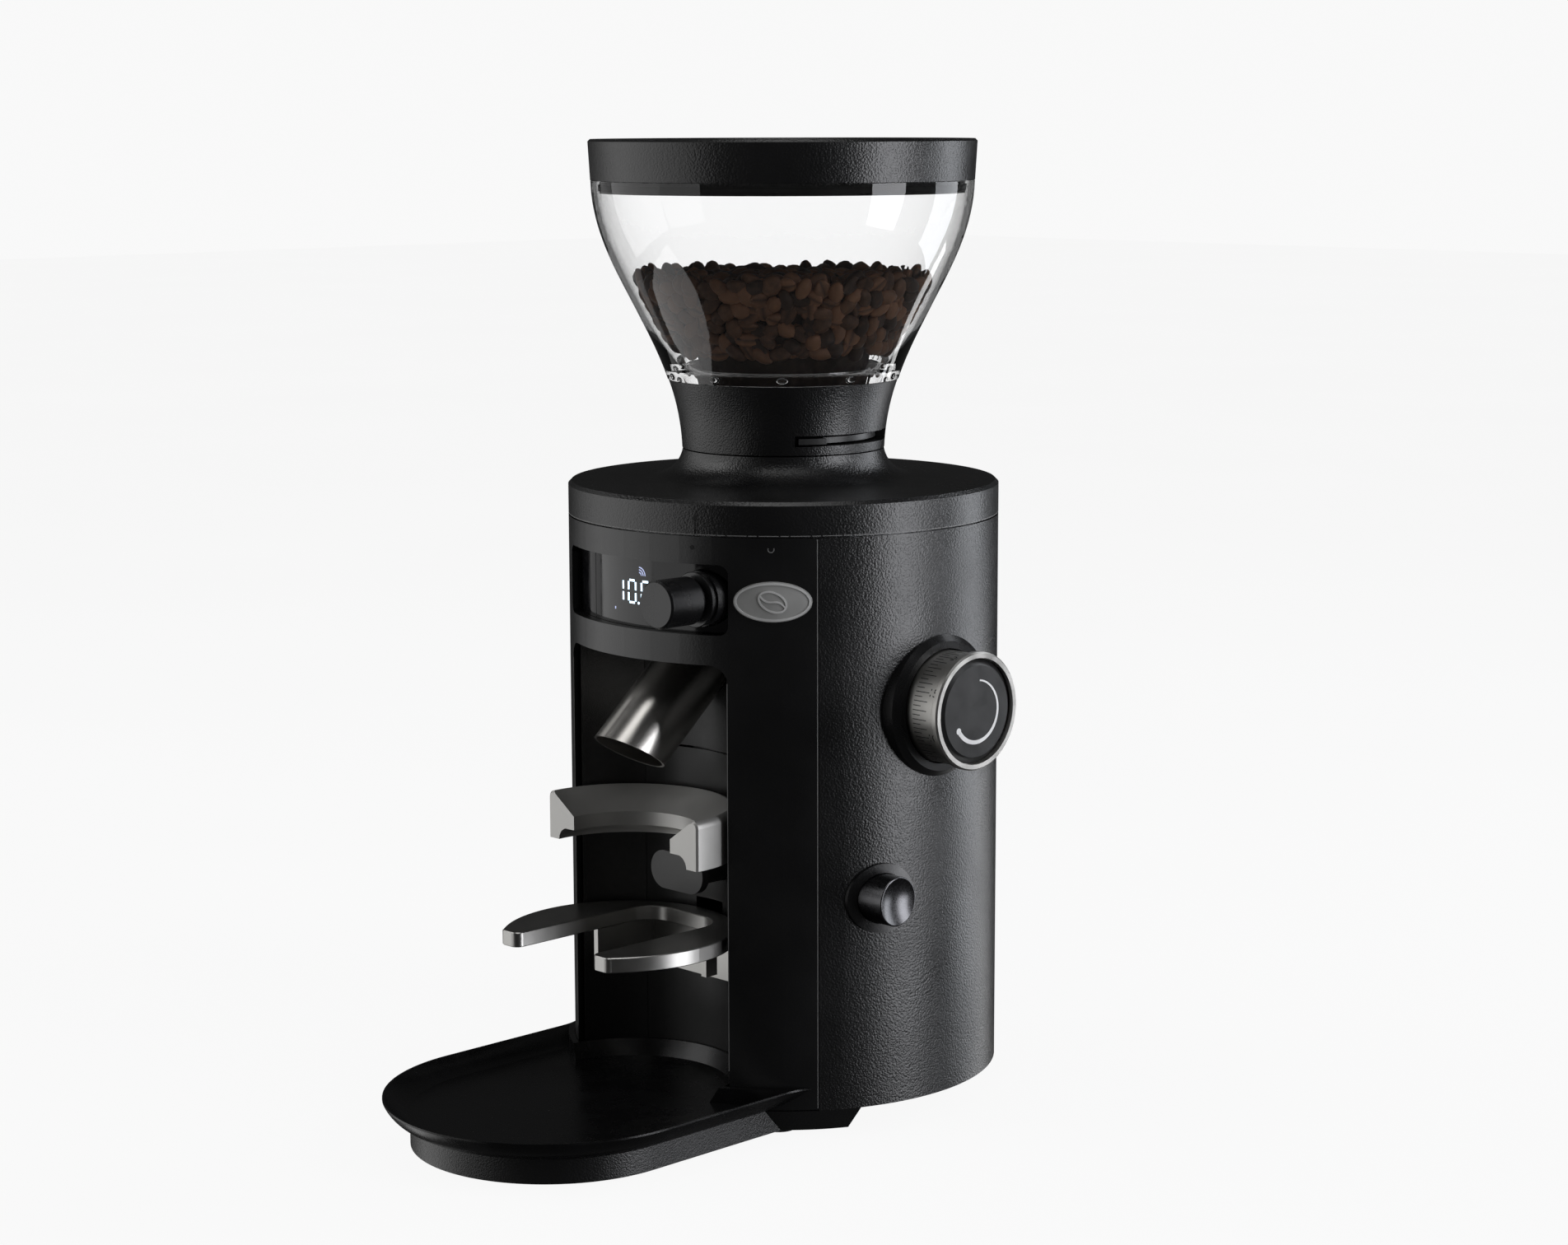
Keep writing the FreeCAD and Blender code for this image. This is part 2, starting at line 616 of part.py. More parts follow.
def prong_side():
    """Half of the fork's plate, X positive, as a face at its underside."""
    z = FORK_TOP_Z - FORK_T
    bend = 1 - math.sqrt(0.5)
    slot_x = FORK_SLOT_HALF_W
    end_y = FORK_SLOT_END_Y
    tip_y = FORK_TIP_Y
    deep = 13.0
    tip_r = 3.7
    back_y = FORK_CENTRE_Y + FORK_R
    slant = FORK_R * math.sqrt(0.5)
    edges = [
        Part.makeLine(vec(0, back_y, z), vec(0, end_y, z)),
        Part.makeLine(vec(0, end_y, z), vec(slot_x - deep, end_y, z)),
        Part.Arc(vec(slot_x - deep, end_y, z), vec(slot_x - deep * bend, end_y - deep * bend, z),
                 vec(slot_x, end_y - deep, z)).toShape(),
        Part.makeLine(vec(slot_x, end_y - deep, z), vec(slot_x, tip_y + tip_r, z)),
        Part.Arc(vec(slot_x, tip_y + tip_r, z), vec(slot_x + tip_r * bend, tip_y + tip_r * bend, z),
                 vec(slot_x + tip_r, tip_y, z)).toShape(),
        Part.makeLine(vec(slot_x + tip_r, tip_y, z), vec(32.4, tip_y, z)),
        Part.Arc(vec(32.4, tip_y, z), vec(33.9, tip_y + 0.5, z), vec(35.0, tip_y + 1.9, z)).toShape(),
        Part.Arc(vec(35.0, tip_y + 1.9, z), vec(43.6, -121.4, z), vec(FORK_R, FORK_CENTRE_Y, z)).toShape(),
        Part.Arc(vec(FORK_R, FORK_CENTRE_Y, z), vec(slant, FORK_CENTRE_Y + slant, z),
                 vec(0, back_y, z)).toShape(),
    ]
    return Part.Face(Part.Wire(edges))


def portafilter_fork():
    plate = both_sides(prong_side().extrude(UP * FORK_T))
    rims = [e for e in plate.Edges if e.BoundBox.ZLength < 0.01 and e.BoundBox.YMin < -100]
    plate = plate.makeChamfer(0.35, rims)
    under_z = FORK_TOP_Z - FORK_T
    slot_x = FORK_SLOT_HALF_W
    cross = box(-26.5, 26.5, -58, -54, 60, under_z)
    rib = box(-slot_x - 2.5, -slot_x, -91, -56, 65, under_z)
    post = box(slot_x, slot_x + 3, -74, -67.5, 65.4, under_z)
    carrier = box(-20, 20, -54, -40, 62, under_z).common(disc(NICHE_R - 0.5, 0, FAR, 0, NICHE_Y))
    hook = box(-8, 8, -48, -42.3, 62, 80)
    return plate.fuse([cross, rib, post, carrier, hook]).removeSplitter()


def flare(points, bulge):
    """A closed (half width, z) outline whose third side is an arc through the bulge."""
    corners = [vec(r, TRAY_CENTRE_Y, z) for r, z in points]
    r, z = bulge
    arc = Part.Arc(corners[1], vec(r, TRAY_CENTRE_Y, z), corners[2]).toShape()
    rest = Part.makePolygon(corners[2:] + corners[:2])
    return Part.Face(Part.Wire([arc] + rest.Edges))


def dish_sweep(section):
    """Sweep an outline round the tray's rim, to the body on both sides."""
    front = section.revolve(vec(0, TRAY_CENTRE_Y, 0), UP, -180)
    side = section.extrude(BACK * (TRAY_BLEND_Y - TRAY_CENTRE_Y))
    section.translate(BACK * (TRAY_BLEND_Y - TRAY_CENTRE_Y))
    blend = section.revolve(vec(TRAY_R + TRAY_BLEND_R, TRAY_BLEND_Y, 0), UP, -35.7)
    sides = side.fuse(blend)
    return front.fuse([sides, mirrored(sides)]).removeSplitter()


def drip_tray():
    edge = TRAY_R - 0.9
    solid = dish_sweep(flare(((0, TRAY_Z0), (61.0, TRAY_Z0), (TRAY_R, 22.4), (TRAY_R, TRAY_Z1),
                              (0, TRAY_Z1)), (67.6, 16.4)))
    hollow = dish_sweep(flare(((0, TRAY_FLOOR_Z), (61.5, TRAY_FLOOR_Z), (edge, TRAY_Z1), (edge, 30),
                               (0, 30)), (67.3, 19.0)))
    solid = solid.cut(disc(BODY_R + GAP, 0, 40))
    hollow = hollow.cut(disc(BODY_R + 3.0, 0, 40))
    niche_r = NICHE_R - 0.6
    in_niche = disc(niche_r, TRAY_Z0, TRAY_Z1, 0, NICHE_Y)
    niche_hollow = frustum(niche_r - 4.7, niche_r - 0.8, TRAY_FLOOR_Z, TRAY_Z1, 0, NICHE_Y)
    solid = solid.fuse(in_niche).removeSplitter()
    return solid.cut(hollow).cut(niche_hollow)


# Hopper

def neck_outline():
    """The neck's outer curve, from its base up to the bowl."""
    low = vec(NECK_BASE_R + 0.2, 0, NECK_Z0)
    return Part.Arc(low, vec(46.0, 0, 301.0), vec(50.4, 0, NECK_Z1)).toShape()


def hopper_neck():
    curve = neck_outline()
    top = vec(50.4, 0, NECK_Z1)
    low = vec(NECK_BASE_R + 0.2, 0, NECK_Z0)
    inner = Part.makePolygon([top, vec(44.0, 0, NECK_Z1), vec(THROAT_R, 0, 300), vec(THROAT_R, 0, 277),
                              vec(30.6, 0, 277), vec(30.6, 0, NECK_Z0), low])
    neck = Part.Face(Part.Wire([curve] + inner.Edges)).revolve(vec(0, 0, 0), UP, 360)
    grid = disc(THROAT_R + 0.5, 288.2, SHUTTER_Z0).cut(window_pair())
    neck = neck.fuse(grid).removeSplitter()
    neck = neck.cut(disc(41.0, SHUTTER_Z0, SHUTTER_Z1))
    return neck.cut(sector(SLOT_TURN0, SLOT_TURN1, 60, SHUTTER_Z0, SHUTTER_Z1))


def window_pair():
    """Two opposite windows that the beans fall through."""
    low = 90 - WINDOW_HALF_SWEEP
    high = 90 + WINDOW_HALF_SWEEP
    windows = sector(low, high, THROAT_R - 0.5, 280, 300)
    windows = windows.fuse(sector(low + 180, high + 180, THROAT_R - 0.5, 280, 300))
    return windows.cut(disc(4.0, 270, 310))


def shutter_disc():
    z0 = SHUTTER_Z0 + 0.9
    z1 = SHUTTER_Z1 - 1.2
    plate = disc(40.5, z0, z1)
    tab = sector(SLOT_TURN0 + 2, SLOT_TURN0 + 2 + TAB_SWEEP, 45.2, z0, z1)
    return plate.fuse(tab).removeSplitter().cut(window_pair())


def bowl_curve(inset, z0):
    """The bowl's side, from z0 up to its rim, moved inwards by inset."""
    side = [(50.8, 318.0), (58.1, 335.6), (69.1, 357.3), (78.8, 378.8), (82.6, 393.0), (83.7, BOWL_Z1)]
    points = [vec(r - inset, 0, z) for r, z in side]
    points[0].z = z0
    curve = Part.BSplineCurve()
    curve.interpolate(points)
    return curve.toShape()


def hopper_bowl():
    outer = bowl_curve(0.0, BOWL_Z0)
    step_z = 323.0
    inner = bowl_curve(BOWL_WALL, step_z)
    inner_low = inner.Vertexes[0].Point
    inner_top = inner.Vertexes[-1].Point
    outer_low = outer.Vertexes[0].Point
    outer_top = outer.Vertexes[-1].Point
    rim = Part.makeLine(outer_top, inner_top)
    step = Part.makePolygon([inner_low, vec(44.3, 0, step_z), vec(44.3, 0, BOWL_Z0), outer_low])
    outline = Part.Wire([outer, rim, inner] + step.Edges)
    return Part.Face(outline).revolve(vec(0, 0, 0), UP, 360)


def coffee_beans():
    outline = ((0, 300.6), (23.2, 300.6), (43.2, 318.0), (43.2, 323.6), (47.6, 324.0),
               (54.2, 335.6), (65.2, 357.3), (64.0, 360.0), (40.0, 364.5), (0, 366.0))
    return turned(outline)


def hopper_lid():
    outline = ((0, 418.8), (70.0, 418.8), (73.0, LID_Z1), (LID_R - 1, LID_Z1), (LID_R, LID_Z1 - 1),
               (LID_R - 1, LID_Z0), (79.6, LID_Z0), (79.6, 399.0), (77.2, 399.0), (77.2, 416.0),
               (0, 416.0))
    return turned(outline)


def lid_seal():
    return tube(80.2, 79.62, 400.0, 402.6)


# Motor and frame

def frame_plate(z0):
    plate = disc(66, z0, z0 + PLATE_T).common(box(-64, 64, -36, 42, z0, z0 + PLATE_T))
    for x, y in POSTS:
        plate = plate.cut(disc(POST_R + 0.02, z0 - 1, z0 + PLATE_T + 1, x, y))
    return plate


def motor_plate():
    return frame_plate(MOTOR_Z1).cut(disc(13.05, 100, 150))


def frame_posts():
    posts = []
    for x, y in POSTS:
        post = disc(POST_R, BODY_BOTTOM_Z + 3.3, CHAMBER_Z0 + PLATE_T, x, y)
        posts.append(post.cut(disc(1.85, 0, 25, x, y)))
    return group(posts)


def housing_screws():
    screws = []
    for x, y in POSTS:
        head = disc(3.6, BODY_BOTTOM_Z - 2.2, BODY_BOTTOM_Z, x, y)
        screw = head.fuse(disc(1.8, BODY_BOTTOM_Z, 24, x, y)).removeSplitter()
        screws.append(screw.cut(disc(1.2, 0, BODY_BOTTOM_Z - 1, x, y)))
    return group(screws)


def motor_can():
    can = disc(MOTOR_R, MOTOR_Z0, MOTOR_Z1).cut(disc(MOTOR_R - 2.2, MOTOR_Z0 + 4, MOTOR_Z1 + 1))
    can = can.cut(disc(13.05, 0, 60))
    for number in range(8):
        window = box(20, 40, -5, 5, 46, 56)
        window.rotate(vec(0, 0, 0), UP, number * 45.0)
        can = can.cut(window)
    return can


def motor_stator():
    ring = tube(MOTOR_R - 2.4, 19.0, 66, 126)
    for number in range(12):
        slot = box(20.5, 27, -1.8, 1.8, 60, 130)
        slot.rotate(vec(0, 0, 0), UP, number * 30.0)
        ring = ring.cut(slot)
    return ring


def motor_bearings():
    low = tube(13.0, SHAFT_R + RUNNING, MOTOR_Z0, MOTOR_Z0 + 4)
    high = tube(13.0, SHAFT_R + RUNNING, MOTOR_Z1, MOTOR_Z1 + PLATE_T)
    return group([low, high])


def motor_shaft():
    return disc(SHAFT_R, 34, 188)


def rotor_core():
    return tube(18.5, SHAFT_R + 0.02, 64, 128)


def cooling_fan():
    hub = tube(9.0, SHAFT_R + 0.02, 46, 58)
    plate = tube(29.5, SHAFT_R + 0.02, 56.5, 58)
    blades = []
    for number in range(9):
        blade = box(8.5, 29.0, -0.7, 0.7, 46, 57)
        blade.rotate(vec(8.5, 0, 0), UP, 25.0)
        blade.rotate(vec(0, 0, 0), UP, number * 40.0)
        blades.append(blade)
    fan = hub.fuse([plate] + blades).removeSplitter()
    return fan.common(disc(29.5, 40, 60))


def power_board():
    board = box(-35, 35, 55, 56.6, 45, 115)
    coil = box(-24, 2, 56.6, 76, 52, 76)
    capacitor = Part.makeCylinder(8, 20, vec(16, 56.6, 92), BACK)
    relay = box(8, 30, 56.6, 70, 54, 70)
    return board.fuse([coil, capacitor, relay]).removeSplitter()


def power_inlet():
    block = box(-17, 17, 74, 95, 21.5, 48.5).common(disc(BODY_R - 0.05, 0, 80))
    socket = rounded_box((-12.2, 12.2, 79, 110, 26.6, 43.4), BACK, 2.5)
    pins = [box(x - 1, x + 1, 78, 91.5, z - 2, z + 2) for x, z in ((-7, 33.5), (7, 33.5), (0, 37.5))]
    return block.cut(socket).fuse(pins).removeSplitter()


# Grinding

def grind_chamber():
    plate = frame_plate(CHAMBER_Z0)
    wall = tube(CHAMBER_R, CHAMBER_INNER_R, CHAMBER_Z0, CHAMBER_Z1)
    floor = disc(CHAMBER_R, CHAMBER_Z0, CHAMBER_Z0 + PLATE_T)
    body = wall.fuse([floor, plate]).removeSplitter()
    body = body.cut(disc(41.5, LOWER_BURR_Z + 2 * BURR_T + BURR_GAP, CHAMBER_Z1 + 1))
    body = body.cut(disc(SPINDLE_R + 0.5, 200, 215))
    outlet = chute_rod(CHUTE_R - 2).common(box(-20, 20, -60, -30, CHAMBER_Z0 + PLATE_T, 226))
    return body.cut(outlet)


def burr_ring(z0, grind_up):
    """A flat burr with slanted cutting grooves on the side that grinds."""
    ring = tube(BURR_R, 13.5, z0, z0 + BURR_T)
    z = z0 + BURR_T - 1.2 if grind_up else z0 - 1.0
    for number in range(24):
        groove = box(12, 30, -0.8, 0.8, z, z + 2.2)
        groove.rotate(vec(12, 0, 0), UP, 18.0)
        groove.rotate(vec(0, 0, 0), UP, number * 15.0)
        ring = ring.cut(groove)
    return ring


def screw_places():
    return [(20.5 * math.cos(a), 20.5 * math.sin(a)) for a in (0.0, 2.0944, 4.1888)]


def lower_burr():
    burr = burr_ring(LOWER_BURR_Z, True)
    for x, y in screw_places():
        burr = burr.cut(disc(1.7, 200, 230, x, y)).cut(disc(3.1, LOWER_BURR_Z + 3, 240, x, y))
    return burr


def lower_burr_screws():
    screws = []
    for x, y in screw_places():
        shank = disc(1.6, 213.5, LOWER_BURR_Z + 3.1, x, y)
        head = disc(3.0, LOWER_BURR_Z + 3.1, LOWER_BURR_Z + 5, x, y)
        screws.append(shank.fuse(head).removeSplitter())
    return group(screws)


def lower_burr_carrier():
    plate = disc(31.0, LOWER_BURR_Z - 5, LOWER_BURR_Z)
    hub = disc(SPINDLE_R, 176, LOWER_BURR_Z)
    lip = disc(13.4, LOWER_BURR_Z, LOWER_BURR_Z + 3)
    vanes = []
    for number in range(3):
        vane = box(26, 37.5, -2, 2, 209.8, LOWER_BURR_Z - 0.5)
        vane.rotate(vec(0, 0, 0), UP, number * 120.0 + 30)
        vanes.append(vane)
    carrier = plate.fuse([hub, lip] + vanes).removeSplitter()
    carrier = carrier.cut(disc(SHAFT_R + 0.06, 170, 190))
    for x, y in screw_places():
        carrier = carrier.cut(disc(1.65, 213, 230, x, y))
    return carrier


def upper_burr():
    return burr_ring(LOWER_BURR_Z + BURR_T + BURR_GAP, False)


def upper_burr_carrier():
    z0 = LOWER_BURR_Z + 2 * BURR_T + BURR_GAP
    return tube(41.3, 14.0, z0, z0 + 8)


def bean_throat():
    z0 = LOWER_BURR_Z + 2 * BURR_T + BURR_GAP + 8
    outline = ((14.0, z0), (30.0, z0), (30.0, z0 + 3), (26.5, z0 + 3), (26.5, 276.6),
               (THROAT_R, 276.6), (THROAT_R, z0 + 12))
    return turned(outline)


def lift_sleeve():
    sleeve = tube(22.0, 16.05, 187, 203)
    ledge = tube(17.0, 11.0, 198.1, 200)
    return sleeve.fuse(ledge).removeSplitter()


def spindle_bearing():
    return tube(16.0, SPINDLE_R + 0.06, 190, 198)


MAKERS = (
    body_housing, front_panel, niche_liner, back_insert, base_plate, front_foot, tray_support,
    rear_foot, rubber_feet, bayonet_ring, top_cover, display_frame, display_glass, control_board,
    encoder_body, knob_base_ring, encoder_stem, control_knob, badge, dial_collar, dial_sleeve,
    dial_cap, dial_shaft, dial_pinion, adjusting_ring, power_button_collar, power_button,
    power_switch, trigger_paddle, trigger_switch, chute, portafilter_ring, portafilter_fork,
    drip_tray, hopper_neck, shutter_disc, hopper_bowl, coffee_beans, hopper_lid, lid_seal,
    motor_plate, frame_posts, housing_screws, motor_can, motor_stator, motor_bearings,
    motor_shaft, rotor_core, cooling_fan, power_board, power_inlet, grind_chamber, lower_burr,
    lower_burr_screws, lower_burr_carrier, upper_burr, upper_burr_carrier, bean_throat,
    lift_sleeve, spindle_bearing,
)


def main():
    os.makedirs("parts", exist_ok=True)
    for maker in MAKERS:
        shape = maker()
        name = maker.__name__
        print(name, "solids", len(shape.Solids), "valid", shape.isValid(), "volume", round(shape.Volume))
        shape.exportStep("parts/" + name + ".step")


main()
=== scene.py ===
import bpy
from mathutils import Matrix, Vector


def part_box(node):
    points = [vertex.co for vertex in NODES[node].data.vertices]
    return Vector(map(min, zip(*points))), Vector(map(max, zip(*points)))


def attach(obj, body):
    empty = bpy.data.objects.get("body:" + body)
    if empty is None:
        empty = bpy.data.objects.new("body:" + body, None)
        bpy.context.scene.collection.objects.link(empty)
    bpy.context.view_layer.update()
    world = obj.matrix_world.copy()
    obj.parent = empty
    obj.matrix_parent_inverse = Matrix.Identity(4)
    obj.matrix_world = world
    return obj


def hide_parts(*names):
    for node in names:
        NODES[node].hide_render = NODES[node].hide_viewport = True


bl_info = {
    "name": "Burr coffee grinder finishes",
    "version": (1, 0, 0),
    "blender": (4, 5, 0),
    "location": "View3D > Sidebar > Grinder",
    "description": "Finishes, markings, beans and studio for a burr coffee grinder",
    "category": "Object",
}

import math
import random

import bmesh
import bpy
from bpy.props import FloatProperty, FloatVectorProperty, IntProperty, PointerProperty
from mathutils import Matrix, Vector

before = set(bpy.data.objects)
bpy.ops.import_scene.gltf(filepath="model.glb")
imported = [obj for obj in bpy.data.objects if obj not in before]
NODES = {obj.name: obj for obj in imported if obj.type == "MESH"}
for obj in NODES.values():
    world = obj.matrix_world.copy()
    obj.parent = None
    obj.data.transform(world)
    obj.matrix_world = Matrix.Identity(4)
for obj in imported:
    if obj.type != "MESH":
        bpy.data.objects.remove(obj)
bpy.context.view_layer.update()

MM = 0.001
UP = Vector((0, 0, 1))
FILM = 0.05 * MM          # thickness of a lit film or a painted highlight line
MARK = 0.1 * MM           # height of a printed mark
SAME_PLACE = 0.01 * MM    # corners closer than this are merged


def middle(node):
    """The middle of a node's box."""
    low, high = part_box(node)
    return (low + high) / 2


def half_size(node):
    """Half a node's width, depth and height."""
    low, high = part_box(node)
    return (high - low) / 2


BODY_R = half_size("top_cover").x
GLASS_R = -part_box("display_glass")[0].y
DIAL_AXIS = middle("dial_sleeve")


# Sizes and colours

class CasingSettings(bpy.types.PropertyGroup):
    """The powder coat and the moulded plastic of the casing."""
    coat_colour: FloatVectorProperty(
        name="Powder coat", description="Colour of the powder-coated metal", subtype="COLOR",
        default=(0.0034, 0.0034, 0.0036))
    niche_colour: FloatVectorProperty(
        name="Niche", description="Colour of the textured plastic in the niche", subtype="COLOR",
        default=(0.0035, 0.0035, 0.0035))
    grain: FloatProperty(
        name="Grain", description="Width of one grain of the powder coat", subtype="DISTANCE",
        unit="LENGTH", default=0.80 * MM)
    grain_depth: FloatProperty(
        name="Grain depth", description="Height of the powder coat's grain", subtype="DISTANCE",
        unit="LENGTH", default=0.10 * MM)


class DisplaySettings(bpy.types.PropertyGroup):
    """The lit digits behind the display's glass."""
    digit_height: FloatProperty(
        name="Digit height", description="Height of a lit digit", subtype="DISTANCE",
        unit="LENGTH", default=10.4 * MM)
    digit_width: FloatProperty(
        name="Digit width", description="Width of a lit digit", subtype="DISTANCE",
        unit="LENGTH", default=5.4 * MM)
    stroke: FloatProperty(
        name="Stroke", description="Width of one lit bar of a digit", subtype="DISTANCE",
        unit="LENGTH", default=0.95 * MM)
    light: FloatVectorProperty(
        name="Light", description="Colour of the lit digits", subtype="COLOR",
        default=(0.62, 0.82, 1.0))


class DialSettings(bpy.types.PropertyGroup):
    """The scale round the grind dial and the sign on its cap."""
    whole_tick: FloatProperty(
        name="Whole tick", description="Length of a tick at a whole number", subtype="DISTANCE",
        unit="LENGTH", default=7.6 * MM)
    half_tick: FloatProperty(
        name="Half tick", description="Length of a tick between two numbers", subtype="DISTANCE",
        unit="LENGTH", default=4.2 * MM)
    tick_width: FloatProperty(
        name="Tick width", description="Width of a tick", subtype="DISTANCE",
        unit="LENGTH", default=0.34 * MM)
    number_height: FloatProperty(
        name="Number height", description="Height of the numbers", subtype="DISTANCE",
        unit="LENGTH", default=3.6 * MM)
    step_angle: FloatProperty(
        name="Step", description="Angle between two whole numbers", subtype="ANGLE",
        unit="ROTATION", default=math.radians(330.0 / 35.0))
    last_number: IntProperty(
        name="Last number", description="The highest number on the scale", default=35)
    rest_number: IntProperty(
        name="Number at rest", description="The number that stands at the rest angle", default=15)
    rest_angle: FloatProperty(
        name="Rest angle", description="Angle of that number above the front of the dial", subtype="ANGLE",
        unit="ROTATION", default=math.radians(24))


class BadgeSettings(bpy.types.PropertyGroup):
    """The plain oval badge with a coffee bean on it."""
    rim: FloatProperty(
        name="Rim", description="Width of the badge's raised rim", subtype="DISTANCE",
        unit="LENGTH", default=0.9 * MM)
    relief: FloatProperty(
        name="Relief", description="Height of the badge's raised lines", subtype="DISTANCE",
        unit="LENGTH", default=0.35 * MM)


class BeanSettings(bpy.types.PropertyGroup):
    """The coffee beans in the hopper."""
    bean_length: FloatProperty(
        name="Length", description="Length of a bean", subtype="DISTANCE",
        unit="LENGTH", default=10.6 * MM)
    bean_width: FloatProperty(
        name="Width", description="Width of a bean", subtype="DISTANCE",
        unit="LENGTH", default=7.8 * MM)
    bean_depth: FloatProperty(
        name="Depth", description="Thickness of a bean", subtype="DISTANCE",
        unit="LENGTH", default=5.0 * MM)
    dark_colour: FloatVectorProperty(
        name="Dark roast", description="Colour of the darkest beans", subtype="COLOR",
        default=(0.052, 0.026, 0.015))
    light_colour: FloatVectorProperty(
        name="Light roast", description="Colour of the lightest beans", subtype="COLOR",
        default=(0.30, 0.145, 0.075))
    seed: IntProperty(
        name="Seed", description="Starting number of the random draws", default=11)


class StudioSettings(bpy.types.PropertyGroup):
    """The floor, the lights and the camera."""
    floor_colour: FloatVectorProperty(
        name="Floor", description="Colour of the floor and the backdrop", subtype="COLOR",
        default=(0.93, 0.93, 0.93))
    camera_place: FloatVectorProperty(
        name="Camera place", description="Where the camera stands", subtype="TRANSLATION",
        unit="LENGTH", default=(0.9967, -0.9809, 0.4296))
    camera_turn: FloatVectorProperty(
        name="Camera turn", description="How the camera is turned", subtype="EULER",
        unit="ROTATION", default=(math.radians(81.027), math.radians(0.15), math.radians(45.43)))
    lens: FloatProperty(
        name="Lens", description="Focal length on a 36 mm wide sensor, in millimetres", default=72.96)


# Finishes

COVERED = set()


def put(socket, value):
    """Link a socket to another node's output, or set its value."""
    if isinstance(value, bpy.types.NodeSocket):
        socket.id_data.links.new(value, socket)
    else:
        socket.default_value = value


def scaled(colour, share):
    """A colour made darker or lighter."""
    return [value * share for value in colour]


class Finish:
    """A material made of shader nodes that read the object's own coordinates."""

    # A colour mix is reached by number, because its sockets share their names with other kinds of mix.
    mix_share, mix_dark, mix_light, mix_result = 0, 6, 7, 2

    def __init__(self, name, colour, roughness, metallic=0.0):
        self.material = bpy.data.materials.new(name)
        self.material.use_nodes = True
        self.tree = self.material.node_tree
        self.shader = self.tree.nodes["Principled BSDF"]
        self.place = self.add("ShaderNodeTexCoord").outputs["Object"]
        self.use(Base_Color=(*colour, 1.0), Roughness=roughness, Metallic=metallic)

    def add(self, kind, **settings):
        """Add a shader node of this kind with these settings."""
        node = self.tree.nodes.new(kind)
        for key, value in settings.items():
            setattr(node, key, value)
        return node

    def feed(self, node, **values):
        """Set or link a node's inputs, each named with underscores for spaces."""
        for key, value in values.items():
            put(node.inputs[key.replace("_", " ")], value)
        return node

    def use(self, **sockets):
        """Feed the shader's own sockets."""
        self.feed(self.shader, **sockets)
        return self

    def cover(self, *names):
        """Put this finish on every slot of the named nodes."""
        for name in names:
            slots = NODES[name].data.materials
            slots.clear()
            slots.append(self.material)
        COVERED.update(names)

    def stretched(self, scale, origin):
        """The object's coordinates about an origin, stretched."""
        shift = self.feed(self.add("ShaderNodeMapping", vector_type="POINT"), Vector=self.place,
                          Location=[-value for value in origin])
        node = self.add("ShaderNodeMapping", vector_type="POINT")
        return self.feed(node, Vector=shift.outputs[0], Scale=scale).outputs[0]

    def noise(self, size, detail=3.0, roughness=0.5, place=None):
        """Soft noise with features of about this size in metres."""
        node = self.add("ShaderNodeTexNoise")
        self.feed(node, Vector=place or self.place, Scale=1.0 / size, Detail=detail, Roughness=roughness)
        return node.outputs["Fac"]

    def cells(self, size, feature):
        """Distances in a pattern of cells of about this size in metres."""
        node = self.add("ShaderNodeTexVoronoi", feature=feature)
        self.feed(node, Vector=self.place, Scale=1.0 / size)
        return node.outputs["Distance"]

    def between(self, value, low, high, new_low, new_high):
        """Carry a value from one range to another, held at both ends."""
        node = self.add("ShaderNodeMapRange")
        self.feed(node, Value=value, From_Min=low, From_Max=high, To_Min=new_low, To_Max=new_high)
        return node.outputs[0]

    def combine(self, operation, first, second):
        """One step of arithmetic on two values."""
        node = self.add("ShaderNodeMath", operation=operation)
        for socket, value in zip(node.inputs, (first, second)):
            put(socket, value)
        return node.outputs[0]

    def shade(self, share, dark, light):
        """Mix two colours by a share from 0 to 1."""
        node = self.add("ShaderNodeMix", data_type="RGBA")
        put(node.inputs[self.mix_share], share)
        for socket, colour in ((self.mix_dark, dark), (self.mix_light, light)):
            linked = isinstance(colour, bpy.types.NodeSocket)
            put(node.inputs[socket], colour if linked else (*colour[:3], 1.0))
        return node.outputs[self.mix_result]

    def relief(self, height, depth, under=None):
        """Turn a height from 0 to 1 into a relief of this depth, over an earlier one."""
        node = self.feed(self.add("ShaderNodeBump"), Height=height, Distance=depth, Strength=1.0)
        if under is not None:
            put(node.inputs["Normal"], under)
        return node.outputs[0]


def powder_coat(name, colour, grain, depth, roughness=0.30):
    """A baked powder coat: pebbled grain, small pits and faint rubbed patches."""
    coat = Finish(name, colour, roughness)
    pebbles = coat.cells(grain, feature="SMOOTH_F1")
    pebble_relief = coat.relief(coat.between(pebbles, 0.0, 0.75, 1.0, 0.0), depth)
    fine = coat.relief(coat.noise(grain * 0.35, detail=4.0), depth * 0.35, pebble_relief)
    rubbed = coat.noise(45 * MM, detail=5.0)
    tint = coat.shade(coat.between(rubbed, 0.35, 0.7, 0.0, 1.0), colour, scaled(colour, 1.5))
    return coat.use(Base_Color=tint, Normal=fine, IOR=1.58,
                    Roughness=coat.between(rubbed, 0.3, 0.7, roughness - 0.04, roughness + 0.07))


def moulded_plastic(name, colour, roughness, grain=0.4 * MM, depth=0.02 * MM):
    """Moulded plastic with a fine spark-eroded grain and faint handling marks."""
    plastic = Finish(name, colour, roughness)
    fine = plastic.relief(plastic.noise(grain, detail=3.0), depth)
    handled = plastic.noise(18 * MM, detail=6.0, roughness=0.6)
    tint = plastic.shade(plastic.between(handled, 0.3, 0.75, 0.0, 1.0), colour, scaled(colour, 1.35))
    return plastic.use(Base_Color=tint, Normal=fine,
                       Roughness=plastic.between(handled, 0.3, 0.7, roughness - 0.06, roughness + 0.08))


